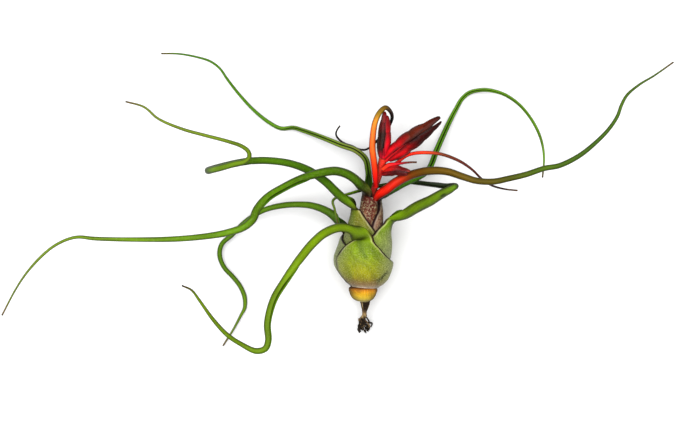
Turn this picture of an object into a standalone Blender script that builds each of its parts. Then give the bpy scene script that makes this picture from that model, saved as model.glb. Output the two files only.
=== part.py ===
"""A flowering bulbosa air plant, taken off its mount and lying on a flat surface.

The bulb is a nest of leaf sheaths round a short stem. Each sheath narrows into a long rolled blade.
Above the bulb the stem carries three flower spikes with their bracts, and below it a few wiry roots.
+X is the plant's right, +Y runs from the roots to the flowers, +Z is up from the surface at z = 0.
The origin is the flat spot under the bulb. Lengths are in millimetres until a mesh is made.
"""
import math

import bpy
import bmesh
import numpy as np

MM = 0.001

# The bulb's axis: where it starts, how far it leans to the right, and how far its neck is raised
BULB_FOOT = np.array((-0.2, -13.0, 9.65))
BULB_LEAN = math.radians(4.9)
BULB_RISE = math.radians(5.0)
BULGE = 1.4             # how far the bulb's middle bulges to the left where it is widest
BULGE_HEIGHT = 13.5
BULGE_SPREAD = 6.0

# A leaf's cross-section
SHEATH_WALL = 0.7       # a sheath is a thin curved shell
BLADE_WALL = 1.4        # the most that a rolled blade measures from its back to its channel
BLADE_SHARE = 1.25      # the same for a narrow blade, as a share of its radius
LIP_SHARE = 0.25        # thickness of a blade's two lips, as a share of its radius
LIP_MOST = 0.35
ROLL_NARROW = 150.0     # half the angle that a narrow blade is rolled through
ROLL_BROAD = 92.0       # the same for the broadest blade, which is a more open channel
ROLL_FALL = 35.0        # degrees less for each millimetre of width over OPEN_WIDTH
OPEN_WIDTH = 2.6
ROLL_UP = 10.0          # a sheath's tip takes this length to roll up into its blade
TURN_FROM = -3.0        # distances from the tip over which the sections turn square to the blade
TURN_TO = 4.5
LEAF_POINTS = 9         # points across each face of a leaf
BRACT_POINTS = 5        # points across each face of a bract
FLAT_BELOW = 0.45       # whatever would lie lower than this is pressed flat on the surface
REST_SPOT = 4.5         # how far from the origin the bulb's underside rests on the surface
REST_BELOW = 0.8        # and what lies lower than this is pressed flat there
SMOOTH_ANGLE = math.radians(40)

GREEN = (0.16, 0.33, 0.04)
DARK_GREEN = (0.06, 0.17, 0.03)
YELLOW_GREEN = (0.36, 0.44, 0.06)
TAN = (0.36, 0.22, 0.10)
RED = (0.55, 0.02, 0.02)
MAROON = (0.16, 0.015, 0.02)
STUB_YELLOW = (0.62, 0.34, 0.06)
ROOT_BROWN = (0.05, 0.03, 0.02)

# Sheaths: height along the bulb, radius, and the directions of the two margins in degrees, where 0 is
# up, 90 is right and -90 is left. Blades: x, y, z and width of each route point, chosen by hand.
LEAVES = {
    "leaf_front": {
        "colour": YELLOW_GREEN,
        "shift": (0.0, 0.0),
        "sheath": [(5.2, 5.7, -52, 102), (6.6, 7.7, -54, 102), (8.6, 9.6, -55, 100),
                   (11.2, 11.0, -57, 97), (14.4, 11.6, -58, 90), (15.8, 11.6, -57, 70),
                   (17.2, 11.5, -55, 53), (19.2, 11.3, -50, 36), (21.3, 10.9, -41, 23),
                   (23.0, 10.5, -30, 13)],
        "blade": [(-1.6, 11.2, 24.4, 3.3), (-4.2, 13.1, 27.0, 3.2), (-8.5, 14.0, 30.0, 3.2),
                  (-13.9, 12.1, 33.0, 3.2), (-18.4, 8.2, 36.0, 3.2), (-22.6, 3.0, 39.0, 3.2),
                  (-27.9, -4.7, 40.5, 3.0), (-31.9, -11.5, 42.0, 2.8), (-33.9, -19.5, 43.0, 2.6),
                  (-33.6, -25.5, 43.0, 2.4), (-34.7, -28.3, 43.0, 2.3), (-37.9, -29.1, 43.0, 2.2),
                  (-43.1, -26.6, 44.0, 1.7), (-47.7, -23.3, 46.0, 1.6), (-52.3, -17.9, 49.0, 1.4),
                  (-57.1, -10.5, 53.0, 1.0), (-59.3, -7.3, 55.0, 0.8), (-62.3, -5.6, 58.0, 0.6)],
    },
    "leaf_left_low": {
        "colour": GREEN,
        "shift": (0.0, 0.0),
        "sheath": [(5.8, 5.0, -215, -20), (7.2, 6.9, -216, -19), (9.3, 8.85, -217, -18),
                   (12.2, 10.3, -217.5, -17.5), (15.2, 10.75, -217.5, -17.5), (18.2, 10.55, -205, -22),
                   (20.4, 10.3, -176, -46), (22.6, 10.0, -150, -72), (24.6, 9.3, -132, -88)],
        "blade": [(-9.2, 16.0, 10.2, 3.2), (-12.2, 19.2, 10.6, 3.0), (-17.8, 21.7, 9.5, 2.6),
                  (-23.4, 22.4, 8.0, 2.3), (-30.9, 21.9, 6.2, 2.2), (-37.7, 20.0, 5.0, 2.0),
                  (-44.0, 15.9, 4.2, 1.9), (-49.0, 11.0, 3.5, 1.8), (-52.8, 7.6, 2.8, 1.8),
                  (-53.7, 3.5, 2.2, 1.8), (-52.1, -1.0, 1.8, 1.7), (-48.7, -4.8, 1.4, 1.7),
                  (-46.1, -8.2, 1.0, 1.7), (-44.4, -12.4, 0.7, 1.7), (-44.4, -16.5, 0.9, 1.4),
                  (-45.7, -19.1, 1.2, 1.1), (-48.7, -24.7, 1.5, 0.8), (-51.3, -28.8, 1.5, 0.7),
                  (-52.5, -30.7, 1.5, 0.6)],
    },
    "leaf_right_fold": {
        "colour": YELLOW_GREEN,
        "shift": (0.8, 80.0),
        "sheath": [(7.0, 4.5, -15, 175), (8.6, 6.5, -18, 178), (10.8, 8.3, -20, 180),
                   (14.0, 9.2, -20, 180), (18.8, 9.15, -16, 176), (22.4, 8.5, -8, 166),
                   (25.5, 7.8, 10, 150, 7.0), (27.6, 7.8, 28, 136, 5.2), (29.2, 8.1, 42, 114, 3.6)],
        "blade": [(12.2, 16.6, 14.6, 4.6), (14.0, 17.9, 16.8, 4.4), (16.4, 19.6, 19.5, 4.2),
                  (19.6, 21.5, 23.5, 4.1), (23.8, 23.6, 28.5, 3.8), (27.8, 26.1, 33.0, 3.3),
                  (30.3, 27.4, 36.2, 2.8), (31.7, 28.2, 37.6, 2.2), (32.5, 28.7, 36.0, 2.1),
                  (31.6, 28.9, 33.0, 2.1), (29.7, 28.8, 29.0, 2.1), (26.5, 29.4, 21.5, 2.0),
                  (23.6, 29.9, 14.5, 1.8), (21.0, 30.4, 8.8, 1.8), (17.5, 30.8, 6.6, 1.7),
                  (13.1, 30.5, 5.2, 1.6), (7.6, 29.6, 4.2, 1.5), (2.7, 28.6, 4.0, 1.3),
                  (-1.8, 27.4, 4.6, 1.2), (-4.8, 26.5, 5.8, 1.1), (-7.8, 25.6, 7.5, 1.0),
                  (-10.6, 24.5, 9.0, 1.0), (-11.2, 23.3, 10.7, 1.0), (-10.6, 21.1, 13.5, 0.9),
                  (-10.0, 18.5, 17.0, 0.8), (-9.5, 16.3, 20.0, 0.7), (-9.3, 14.5, 22.0, 0.6)],
    },
    "leaf_left_loop": {
        "colour": GREEN,
        "shift": (1.3, -95.0),
        "sheath": [(8.8, 4.8, -150, 50), (10.8, 6.5, -150, 50), (14.0, 7.9, -150, 50),
                   (18.5, 7.9, -150, 48), (22.4, 7.6, -148, 44), (26.2, 6.9, -140, 36),
                   (28.6, 6.5, -130, 14), (30.6, 6.2, -122, -4, 4.8),
                   (32.3, 6.1, -116, -18, 3.6), (33.6, 6.1, -110, -30, 2.9)],
        "blade": [(-5.4, 22.2, 17.0, 3.7), (-7.0, 23.9, 18.7, 3.5), (-8.7, 25.7, 20.2, 3.3),
                  (-10.7, 27.6, 21.7, 3.2), (-13.1, 30.0, 23.3, 3.1), (-19.3, 34.3, 27.0, 2.9),
                  (-26.4, 36.9, 31.0, 2.7), (-34.1, 37.8, 35.0, 2.6), (-40.2, 37.5, 39.0, 2.6),
                  (-45.3, 36.5, 43.0, 2.6), (-49.5, 35.3, 47.0, 2.6), (-52.7, 34.2, 51.0, 2.7),
                  (-53.6, 33.7, 55.0, 2.6), (-52.0, 33.8, 59.0, 2.3), (-48.4, 34.5, 62.0, 2.1),
                  (-43.9, 35.7, 63.5, 2.0), (-40.5, 36.5, 64.5, 1.7), (-39.0, 38.0, 65.0, 1.6),
                  (-39.3, 39.8, 65.5, 1.5), (-41.4, 41.5, 66.0, 1.4), (-46.0, 43.1, 67.0, 1.3),
                  (-53.3, 45.0, 68.0, 1.2), (-61.3, 47.2, 69.0, 1.1), (-69.0, 50.5, 71.0, 0.9),
                  (-73.4, 54.2, 73.0, 0.8), (-79.3, 55.9, 75.0, 0.6)],
    },
    "leaf_back_right": {
        "colour": DARK_GREEN,
        "shift": (0.0, 0.0),
        "sheath": [(9.8, 3.7, 20, 225), (11.6, 4.75, 18, 228), (14.0, 5.9, 15, 230),
                   (18.5, 6.1, 10, 230), (22.2, 5.8, 5, 230), (25.9, 5.3, 5, 228),
                   (29.3, 5.15, 12, 222), (31.8, 5.0, 24, 214), (34.2, 4.7, 42, 205),
                   (36.3, 4.45, 62, 195), (38.0, 4.35, 76, 180)],
        "blade": [(8.5, 25.8, 10.3, 2.5), (11.3, 27.6, 10.8, 2.4), (14.4, 29.6, 11.2, 2.3),
                  (18.1, 31.4, 11.2, 2.3), (21.5, 33.0, 9.8, 2.2), (23.8, 34.7, 8.0, 2.2),
                  (25.4, 37.1, 7.0, 2.2), (27.3, 42.0, 5.5, 2.2), (30.0, 48.1, 4.0, 2.1),
                  (32.8, 54.0, 2.5, 1.9), (35.1, 58.3, 1.4, 1.7), (37.4, 62.2, 0.7, 1.6),
                  (40.0, 64.4, 1.1, 1.6), (43.3, 65.3, 2.0, 1.5), (47.3, 65.2, 4.0, 1.5),
                  (52.6, 63.4, 7.0, 1.3), (57.7, 59.4, 11.0, 1.2), (61.7, 53.8, 15.0, 1.1),
                  (64.2, 48.1, 18.5, 1.1), (65.2, 42.8, 22.0, 0.9), (65.3, 38.4, 24.0, 0.8),
                  (64.5, 32.0, 26.0, 0.6)],
    },
    "leaf_left_long": {
        "colour": TAN,
        "shift": (0.5, -80.0),
        "sheath": [(10.8, 3.5, -130, 60), (14.0, 4.8, -132, 60), (18.5, 4.9, -135, 62),
                   (22.2, 4.7, -135, 62), (25.9, 4.25, -130, 60), (29.0, 4.0, -122, 55),
                   (31.6, 3.75, -116, 48), (34.0, 3.55, -108, 34), (36.2, 3.35, -98, 9),
                   (38.2, 3.3, -84, -12)],
        "blade": [(0.9, 26.6, 17.4, 3.5), (-0.6, 28.6, 19.7, 3.5), (-2.0, 30.5, 22.0, 3.4),
                  (-5.6, 33.1, 25.0, 3.3), (-10.3, 34.3, 28.0, 3.2), (-16.4, 33.3, 31.0, 3.1),
                  (-22.7, 31.1, 34.0, 3.1), (-29.0, 27.9, 37.0, 3.0), (-34.2, 24.5, 40.0, 3.0),
                  (-37.6, 20.4, 42.0, 3.0), (-39.1, 16.9, 43.5, 2.9), (-42.1, 14.3, 44.0, 2.7),
                  (-47.6, 12.4, 44.0, 2.5), (-55.7, 11.0, 44.0, 2.2), (-66.2, 10.1, 44.0, 2.0),
                  (-76.6, 9.9, 44.0, 1.7), (-87.0, 10.0, 44.5, 1.5), (-94.6, 10.3, 45.0, 1.4),
                  (-99.8, 10.8, 45.5, 1.2), (-103.9, 9.8, 46.0, 1.1), (-108.6, 7.2, 47.0, 1.0),
                  (-113.3, 2.9, 48.0, 1.0), (-117.4, -2.3, 50.0, 0.8), (-120.5, -7.5, 51.5, 0.7),
                  (-124.5, -16.0, 54.0, 0.6)],
    },
    "leaf_back_left": {
        "colour": DARK_GREEN,
        "shift": (0.0, 0.0),
        "sheath": [(24.0, 3.0, -205, -95), (28.0, 3.0, -205, -95), (32.0, 2.85, -202, -98),
                   (35.5, 2.7, -196, -104), (38.0, 2.6, -188, -112)],
        "blade": [(1.9, 28.2, 10.4, 2.4), (2.1, 31.4, 10.9, 2.3), (1.9, 35.1, 11.2, 2.3),
                  (0.9, 39.2, 10.5, 2.3), (-2.6, 42.4, 9.5, 2.2), (-8.1, 44.5, 7.5, 2.1),
                  (-15.2, 47.5, 5.0, 1.9), (-22.4, 50.2, 2.6, 1.7), (-26.0, 51.3, 1.5, 1.6),
                  (-30.7, 51.1, 0.6, 1.5), (-35.0, 53.2, 1.2, 1.4), (-40.8, 57.8, 2.2, 1.2),
                  (-46.7, 64.2, 4.0, 1.1), (-50.7, 69.4, 6.0, 1.0), (-53.2, 73.0, 7.0, 0.9),
                  (-56.7, 75.6, 8.0, 0.9), (-62.0, 77.2, 9.0, 0.8), (-68.3, 78.2, 10.0, 0.7),
                  (-74.7, 78.2, 11.0, 0.6)],
    },
    "leaf_right_long": {
        "colour": RED,
        "shift": (0.0, 0.0),
        "sheath": [(25.0, 2.7, -15, 98), (28.5, 2.6, -15, 98), (31.5, 2.5, -14, 95),
                   (34.0, 2.4, -10, 92), (36.0, 2.35, 0, 86)],
        "blade": [(5.3, 24.2, 15.7, 3.0), (6.6, 25.9, 17.0, 3.4), (8.6, 27.8, 18.0, 3.5),
                  (11.6, 30.2, 18.9, 3.6), (15.2, 32.2, 20.0, 3.4), (19.8, 33.8, 22.5, 3.1),
                  (24.7, 34.5, 25.5, 3.0), (29.9, 34.1, 28.0, 2.8), (35.2, 32.3, 30.0, 2.6),
                  (40.4, 30.7, 31.0, 2.4), (46.1, 30.4, 32.0, 2.3), (51.7, 31.5, 33.0, 2.2),
                  (57.6, 32.9, 34.0, 2.1), (63.9, 35.0, 35.0, 2.0), (69.2, 36.0, 36.0, 1.9),
                  (75.7, 39.2, 37.0, 1.8), (80.8, 43.2, 38.0, 1.6), (86.1, 48.6, 39.0, 1.4),
                  (89.1, 53.3, 40.0, 1.3), (90.4, 57.1, 40.5, 1.2), (92.3, 60.6, 41.0, 1.1),
                  (96.3, 64.1, 42.0, 0.9), (101.5, 67.3, 43.0, 0.7), (108.0, 71.9, 44.0, 0.6)],
    },
}

# Bracts of the flower spikes: the way each one's back faces at its foot, and its route as above
BRACTS = {
    "bract_hooked": {
        "colour": RED,
        "back": (-1.0, 0.0, 0.4),
        "blade": [(4.6, 29.0, 17.7, 1.9), (4.4, 32.0, 19.8, 2.2), (3.8, 37.7, 22.0, 2.4),
                  (3.2, 42.5, 23.5, 2.4), (3.4, 47.4, 24.5, 2.3), (4.2, 52.1, 25.0, 2.1),
                  (5.8, 55.5, 25.0, 2.0), (7.8, 57.3, 24.4, 1.8), (9.8, 56.1, 21.5, 1.5),
                  (10.5, 54.1, 19.0, 1.3), (9.8, 51.8, 17.0, 1.1), (8.4, 49.3, 15.3, 1.0),
                  (5.9, 46.7, 12.8, 0.9), (3.3, 44.1, 9.6, 0.8), (0.8, 42.8, 7.1, 0.8),
                  (-1.8, 43.2, 5.8, 0.7), (-4.0, 44.3, 5.4, 0.7), (-6.6, 45.2, 4.8, 0.7),
                  (-8.7, 46.6, 4.4, 0.7), (-9.9, 48.2, 6.5, 0.7), (-9.7, 49.8, 10.0, 0.6),
                  (-8.6, 51.3, 13.0, 0.6)],
    },
    "bract_arching": {
        "colour": RED,
        "back": (0.3, -1.0, 0.3),
        "blade": [(9.8, 36.0, 18.9, 1.3), (12.8, 38.0, 19.4, 1.3), (15.5, 40.0, 20.5, 1.3),
                  (18.4, 40.9, 21.5, 1.3), (23.5, 41.1, 23.0, 1.3), (28.5, 40.4, 24.3, 1.2),
                  (34.9, 37.8, 25.6, 1.1), (39.4, 34.6, 26.3, 0.9), (42.2, 31.8, 26.6, 0.8),
                  (45.8, 29.3, 26.8, 0.8), (50.4, 27.9, 27.0, 0.7), (55.4, 27.3, 27.3, 0.6)],
    },
    "bract_needle": {
        "colour": RED,
        "back": (0.0, 0.7, 0.7),
        "blade": [(7.0, 35.1, 21.5, 1.6), (9.2, 36.6, 22.3, 1.7), (12.0, 37.0, 22.8, 1.2),
                  (15.1, 37.4, 23.2, 0.8), (17.2, 37.6, 23.4, 0.7), (19.3, 37.6, 23.6, 0.6)],
    },
}

# A floral bract: its sections along its length, and how its reach and its width change along them
FLORAL_SECTIONS = (0.0, 0.25, 0.55, 0.82, 1.0)
SWELL_START = 0.08      # where the bract's foot and tip lie on the half wave of its swelling
SWELL_LENGTH = 0.82
SWELL_POWER = 0.7       # under 1, the bract is full for most of its length
FLORAL_BACK = 0.5       # a bract's back starts this far out from its stalk's middle
FLORAL_CURVE = 0.82     # radius of its cross-section as a share of its reach
FLORAL_LEAST = 0.35     # least radius of its cross-section
FLORAL_ROLL = 95.0      # half the angle it clasps at its foot, in degrees
FLORAL_UNROLL = 20.0    # degrees less than that at its tip
THIN_SHARE = 0.35       # its inner face at a thin end, as a share of its outer face

# Flower spikes: the route of the spike's own stalk with its radius, and for each floral bract its foot
# along the stalk, its length, how far its back stands out, and its side in degrees, where 0 is up and
# 90 is to the right of a spike that points away
SPIKES = {
    "spike_upright": {
        "colour": MAROON,
        "stalk": [(7.2, 39.3, 20.6, 0.8), (7.3, 43.5, 21.4, 1.0), (7.6, 48.0, 21.6, 0.9),
                  (7.8, 52.6, 21.6, 0.5)],
        "bracts": [(0.4, 10.0, 2.2, -80), (1.5, 10.8, 1.9, 80), (3.4, 10.8, 2.2, -60),
                   (5.2, 10.3, 1.9, 70), (7.4, 9.6, 1.5, -30)],
    },
    "spike_slanting": {
        "colour": MAROON,
        "stalk": [(9.5, 38.6, 20.2, 0.7), (11.9, 41.1, 21.2, 1.2), (15.4, 43.8, 22.4, 1.4),
                  (19.2, 46.7, 23.8, 1.2), (23.0, 49.5, 25.2, 0.7)],
        "bracts": [(0.5, 11.8, 2.4, -85), (1.8, 12.2, 2.8, 85), (4.4, 12.0, 3.1, -80),
                   (6.6, 11.8, 3.0, 80), (8.6, 11.5, 3.1, -75), (10.8, 10.4, 2.5, 75),
                   (12.6, 10.4, 2.2, -60), (14.6, 8.8, 1.7, 80)],
    },
    "spike_low": {
        "colour": MAROON,
        "stalk": [(7.7, 33.8, 19.9, 0.5), (9.6, 34.4, 20.7, 0.9), (12.2, 34.5, 22.0, 0.9),
                  (14.8, 34.0, 23.3, 0.5)],
        "bracts": [(0.5, 6.6, 1.5, 70), (1.4, 7.0, 1.6, -50), (3.0, 7.2, 1.5, 60),
                   (4.2, 6.4, 1.2, -60)],
    },
}

# The stem: the stub below the bulb, the short stem inside it, and the flower stalk past the neck.
# Inside the bulb a point is a height on the bulb's axis and a radius, and past it a route with a radius
STEM_IN_BULB = [(-0.4, 2.6), (0.2, 3.8), (1.4, 4.8), (3.0, 5.3), (4.3, 5.1), (4.8, 4.6), (5.7, 3.7),
                (7.0, 3.0), (8.6, 2.6), (11.0, 2.2), (16.0, 2.1), (22.0, 1.8), (26.0, 1.5), (30.0, 1.3),
                (37.0, 1.15)]
STEM_PAST_NECK = [(3.9, 27.7, 14.2, 1.2), (5.2, 31.3, 16.4, 1.2), (6.3, 34.4, 18.2, 1.2),
                  (7.1, 36.8, 19.3, 1.4)]
STEM_SIDES = 10
STALK_SIDES = 8
ROOT_SIDES = 5
TUBE_UP = np.array((0.0, 0.3, 1.0))     # a tube's first corner is on this side of it

# The roots: a short crown under the stub, and wiry strands that meet in a waist and then spread
ROOT_CROWN = [(1.2, -14.1, 9.5, 2.2), (1.1, -14.9, 9.4, 2.0), (0.6, -16.0, 8.4, 1.5),
              (0.2, -17.6, 7.1, 1.2), (0.3, -19.5, 5.9, 1.1)]
ROOT_FOOT = np.array((0.2, -17.4, 7.1))
ROOT_FOOT_RADIUS = 0.4
ROOT_WAIST = np.array((0.3, -20.0, 5.6))
ROOT_WAIST_RADIUS = 0.75
ROOT_ENDS = [(-2.3, -26.0, 3.2), (-0.9, -28.2, 1.5), (0.6, -26.8, 4.4), (1.9, -28.8, 2.2),
             (3.4, -27.0, 3.6), (4.6, -25.2, 1.8), (-3.4, -23.8, 4.6)]
ROOT_CURL = 0.9
ROOT_RADIUS = 0.36
ROOT_TIP_RADIUS = 0.3
ROOT_STEPS = 9


def bulb_frame():
    """The bulb's axis, and its up and right directions across the axis."""
    axis = np.array((math.sin(BULB_LEAN) * math.cos(BULB_RISE),
                     math.cos(BULB_LEAN) * math.cos(BULB_RISE),
                     math.sin(BULB_RISE)))
    right = np.array((math.cos(BULB_LEAN), -math.sin(BULB_LEAN), 0.0))
    return axis, np.cross(right, axis), right


def outward(degrees):
    """The direction from the bulb's axis at an angle, where 0 is up and 90 is right."""
    _, up, right = bulb_frame()
    turn = np.radians(np.atleast_1d(degrees))[:, None]
    return np.cos(turn) * up + np.sin(turn) * right


def bulb_centre(height):
    """The bulb's middle at a height: the axis, less a bell curve to the left where the bulb is widest."""
    axis, _, right = bulb_frame()
    bell = math.exp(-((height - BULGE_HEIGHT) / BULGE_SPREAD) ** 2)
    return BULB_FOOT + axis * height - BULGE * bell * right


def unit(vectors):
    """Each row scaled to length 1."""
    return vectors / np.linalg.norm(vectors, axis=-1, keepdims=True)


def soft_step(low, high, values):
    """0 below low, 1 above high, and a smooth rise between."""
    share = np.clip((values - low) / (high - low), 0, 1)
    return share * share * (3 - 2 * share)


def smooth_rows(rows, steps):
    """Rows on a smooth curve through the given rows, with each gap cut into its number of steps.

    Between two rows the curve is a cubic that has, at each row, the slope of the parabola through that
    row and its neighbours.
    """
    rows = np.asarray(rows, float)
    gaps = np.sqrt(np.linalg.norm(np.diff(rows[:, :3], axis=0), axis=1))
    at = np.concatenate(([0.0], np.cumsum(gaps)))
    slope = np.gradient(rows, at, axis=0)
    pieces = []
    for i, count in enumerate(steps):
        u = np.arange(count)[:, None] / count
        pieces.append((2 * u**3 - 3 * u**2 + 1) * rows[i]
                      + (u**3 - 2 * u**2 + u) * gaps[i] * slope[i]
                      + (3 * u**2 - 2 * u**3) * rows[i + 1]
                      + (u**3 - u**2) * gaps[i] * slope[i + 1])
    pieces.append(rows[-1:])
    return np.vstack(pieces)


def carried_normals(points, first):
    """A normal for each point of a path: the first one, carried along with the least turning."""
    tangents = unit(np.gradient(points, axis=0))
    normals = [first - tangents[0] * (first @ tangents[0])]
    for tangent in tangents[1:]:
        normals.append(normals[-1] - tangent * (normals[-1] @ tangent))
        normals[-1] = normals[-1] / np.linalg.norm(normals[-1])
    return tangents, unit(np.array(normals))


def blade_rows(route):
    """Route points as rows of place, curvature, half the arc's length, solid share and turn share."""
    rows = []
    for x, y, z, width in route:
        roll = ROLL_NARROW - ROLL_FALL * max(width - OPEN_WIDTH, 0.0)
        roll = math.radians(max(roll, ROLL_BROAD))
        rows.append((x, y, z, 2 / width, roll * width / 2, 1.0, 1.0))
    return rows


def sheath_rows(sheath, shift):
    """Sheath sections as rows like a blade's, with each row's outward direction.

    A section bends round the bulb's axis, or more tightly where a fifth value gives its own radius.
    """
    rows = []
    backs = []
    for height, radius, left, right, *curl in sheath:
        back = outward((left + right) / 2)[0]
        centre = bulb_centre(height) + shift[0] * outward(shift[1])[0]
        half_arc = radius * math.radians(right - left) / 2
        bend = curl[0] if curl else radius
        rows.append((*(centre + radius * back), 1 / bend, half_arc, 0.0, 0.0))
        backs.append(back)
    return rows, backs


def section(row, normal, side, count):
    """One closed ring of a leaf: its back face from left to right, then its inner face back again.

    The back is an arc. The inner face is an arc inside it in a sheath, and a shallow channel in a blade.
    """
    radius = 1 / row[3]
    half_angle = row[4] * row[3]
    solid = row[5]
    share = np.linspace(-1, 1, count)
    cos, sin = np.cos(half_angle * share), np.sin(half_angle * share)
    lip = radius - min(LIP_SHARE * radius, LIP_MOST)
    bottom = radius - min(BLADE_SHARE * radius, BLADE_WALL)
    lip_height = lip * math.cos(half_angle)
    channel = np.stack((lip_height + (bottom - lip_height) * (1 - share**2),
                        lip * math.sin(half_angle) * share), 1)
    shell = (radius - SHEATH_WALL) * np.stack((cos, sin), 1)
    inner = (1 - solid) * shell + solid * channel
    outer = radius * np.stack((cos, sin), 1)
    ring = np.vstack((outer, inner[::-1]))
    centre = row[:3] - (1 - solid) * radius * normal
    return centre + ring[:, :1] * normal + ring[:, 1:] * side


def ring_faces(rings, count):
    """Faces of a tube of rings, with each end closed by quads from its back face to its inner face."""
    size = 2 * count
    faces = []
    for i in range(rings - 1):
        for j in range(size):
            k = (j + 1) % size
            faces.append((i * size + j, i * size + k, (i + 1) * size + k, (i + 1) * size + j))
    last = (rings - 1) * size
    for j in range(count - 1):
        faces.append((j, j + 1, size - 2 - j, size - 1 - j))
        faces.append((last + j, last + size - 1 - j, last + size - 2 - j, last + j + 1))
    return faces


def material(name, colour, roughness=0.5):
    """A plain Principled material."""
    made = bpy.data.materials.new(name)
    made.use_nodes = True
    shader = made.node_tree.nodes["Principled BSDF"]
    shader.inputs["Base Color"].default_value = (*colour, 1.0)
    shader.inputs["Roughness"].default_value = roughness
    shader.inputs["Metallic"].default_value = 0.0
    return made


def solid_object(name, points, faces, finish, collection=None):
    """A closed mesh object from points in millimetres, its faces turned outward."""
    mesh = bpy.data.meshes.new(name)
    mesh.from_pydata((np.asarray(points) * MM).tolist(), [], faces)
    work = bmesh.new()
    work.from_mesh(mesh)
    bmesh.ops.recalc_face_normals(work, faces=work.faces)
    bmesh.ops.triangulate(work, faces=work.faces)
    work.to_mesh(mesh)
    work.free()
    mesh.shade_smooth()
    mesh.set_sharp_from_angle(angle=SMOOTH_ANGLE)
    mesh.materials.append(finish)
    made = bpy.data.objects.new(name, mesh)
    (collection or bpy.context.scene.collection).objects.link(made)
    return made


def pressed(points):
    """Points with the lowest of them pressed flat on the surface, and most of all under the bulb."""
    points = np.array(points)
    under_bulb = np.linalg.norm(points[:, :2], axis=1) < REST_SPOT
    points[points[:, 2] < np.where(under_bulb, REST_BELOW, FLAT_BELOW), 2] = 0.0
    return points


def rolled_up(rows, tip, blade):
    """Rows whose width and roll change smoothly from those of the sheath's tip to those of the blade."""
    along = np.concatenate(([0.0], np.cumsum(np.linalg.norm(np.diff(rows[:, :3], axis=0), axis=1))))
    along -= along[tip]
    share = soft_step(0.0, ROLL_UP, along[tip:])[:, None]
    sheath_end = rows[tip, 3:6].copy()
    rows[tip:blade, 3:6] = rows[blade, 3:6]
    rows[tip:, 3:6] = (1 - share) * sheath_end + share * rows[tip:, 3:6]
    rows[:, 6] = soft_step(TURN_FROM, TURN_TO, along)
    return rows


def leaf(name, data):
    """A sheath round the bulb that rolls up into its blade, as one solid."""
    axis, _, _ = bulb_frame()
    first_rows, backs = sheath_rows(data["sheath"], data["shift"])
    rows = first_rows + blade_rows(data["blade"])
    steps = [1] * (len(rows) - 1)
    tip = len(first_rows) - 1
    steps[tip:tip + 4] = [2] * 4
    rows = rolled_up(smooth_rows(rows, steps), tip, tip + 2)
    backs = np.array(backs + [backs[-1]] * (len(rows) - len(backs)))
    tangents, carried = carried_normals(rows[tip:, :3], backs[-1])
    normals = np.vstack((backs[:tip], carried))
    tangents = np.vstack((unit(np.gradient(rows[:, :3], axis=0))[:tip], tangents))
    rings = []
    for row, back, tangent, normal in zip(rows, backs, tangents, normals):
        plane = unit((1 - row[6]) * axis + row[6] * tangent)
        side = unit(np.cross(plane, (1 - row[6]) * back + row[6] * normal))
        rings.append(section(row, np.cross(side, plane), side, LEAF_POINTS))
    finish = material(name, data["colour"])
    solid_object(name, pressed(np.vstack(rings)), ring_faces(len(rings), LEAF_POINTS), finish)


def bract(name, data):
    """A narrow bract: a rolled blade with no sheath."""
    rows = np.array(blade_rows(data["blade"]))
    tangents, normals = carried_normals(rows[:, :3], np.array(data["back"]))
    rings = [section(row, normal, np.cross(tangent, normal), BRACT_POINTS)
             for row, normal, tangent in zip(rows, normals, tangents)]
    finish = material(name, data["colour"])
    solid_object(name, np.vstack(rings), ring_faces(len(rings), BRACT_POINTS), finish)


def tube(name, route, sides, finish, collection=None):
    """A round solid along route points that each have a radius, with flat ends."""
    route = np.asarray(route, float)
    tangents, normals = carried_normals(route[:, :3], TUBE_UP)
    turn = np.linspace(0, 2 * math.pi, sides, endpoint=False)
    points = []
    for row, tangent, normal in zip(route, tangents, normals):
        side = np.cross(tangent, normal)
        points.append(row[:3] + row[3] * (np.cos(turn)[:, None] * normal + np.sin(turn)[:, None] * side))
    faces = []
    for i in range(len(route) - 1):
        for j in range(sides):
            k = (j + 1) % sides
            faces.append((i * sides + j, i * sides + k, (i + 1) * sides + k, (i + 1) * sides + j))
    faces.append(tuple(range(sides)))
    faces.append(tuple((len(route) - 1) * sides + j for j in reversed(range(sides))))
    return solid_object(name, np.vstack(points), faces, finish, collection)


def keep_outer_shell(mesh):
    """Leave only the largest connected shell, which fills sealed hollows and drops loose scraps."""
    work = bmesh.new()
    work.from_mesh(mesh)
    left = set(work.verts)
    shells = []
    while left:
        shell = set()
        front = [left.pop()]
        while front:
            vert = front.pop()
            shell.add(vert)
            linked = {edge.other_vert(vert) for edge in vert.link_edges} & left
            left -= linked
            front.extend(linked)
        shells.append(shell)
    largest = max(shells, key=len)
    bmesh.ops.delete(work, geom=[vert for vert in work.verts if vert not in largest], context="VERTS")
    work.to_mesh(mesh)
    work.free()


def joined(base, others):
    """The base object with a collection's objects joined to it in one closed body."""
    union = base.modifiers.new("join", "BOOLEAN")
    union.operation = "UNION"
    union.operand_type = "COLLECTION"
    union.collection = others
    union.solver = "EXACT"
    depsgraph = bpy.context.evaluated_depsgraph_get()
    mesh = bpy.data.meshes.new_from_object(base.evaluated_get(depsgraph))
    keep_outer_shell(mesh)
    base.modifiers.clear()
    base.data = mesh
    mesh.set_sharp_from_angle(angle=SMOOTH_ANGLE)
    for piece in list(others.objects):
        bpy.data.objects.remove(piece)
    bpy.data.collections.remove(others)


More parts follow.
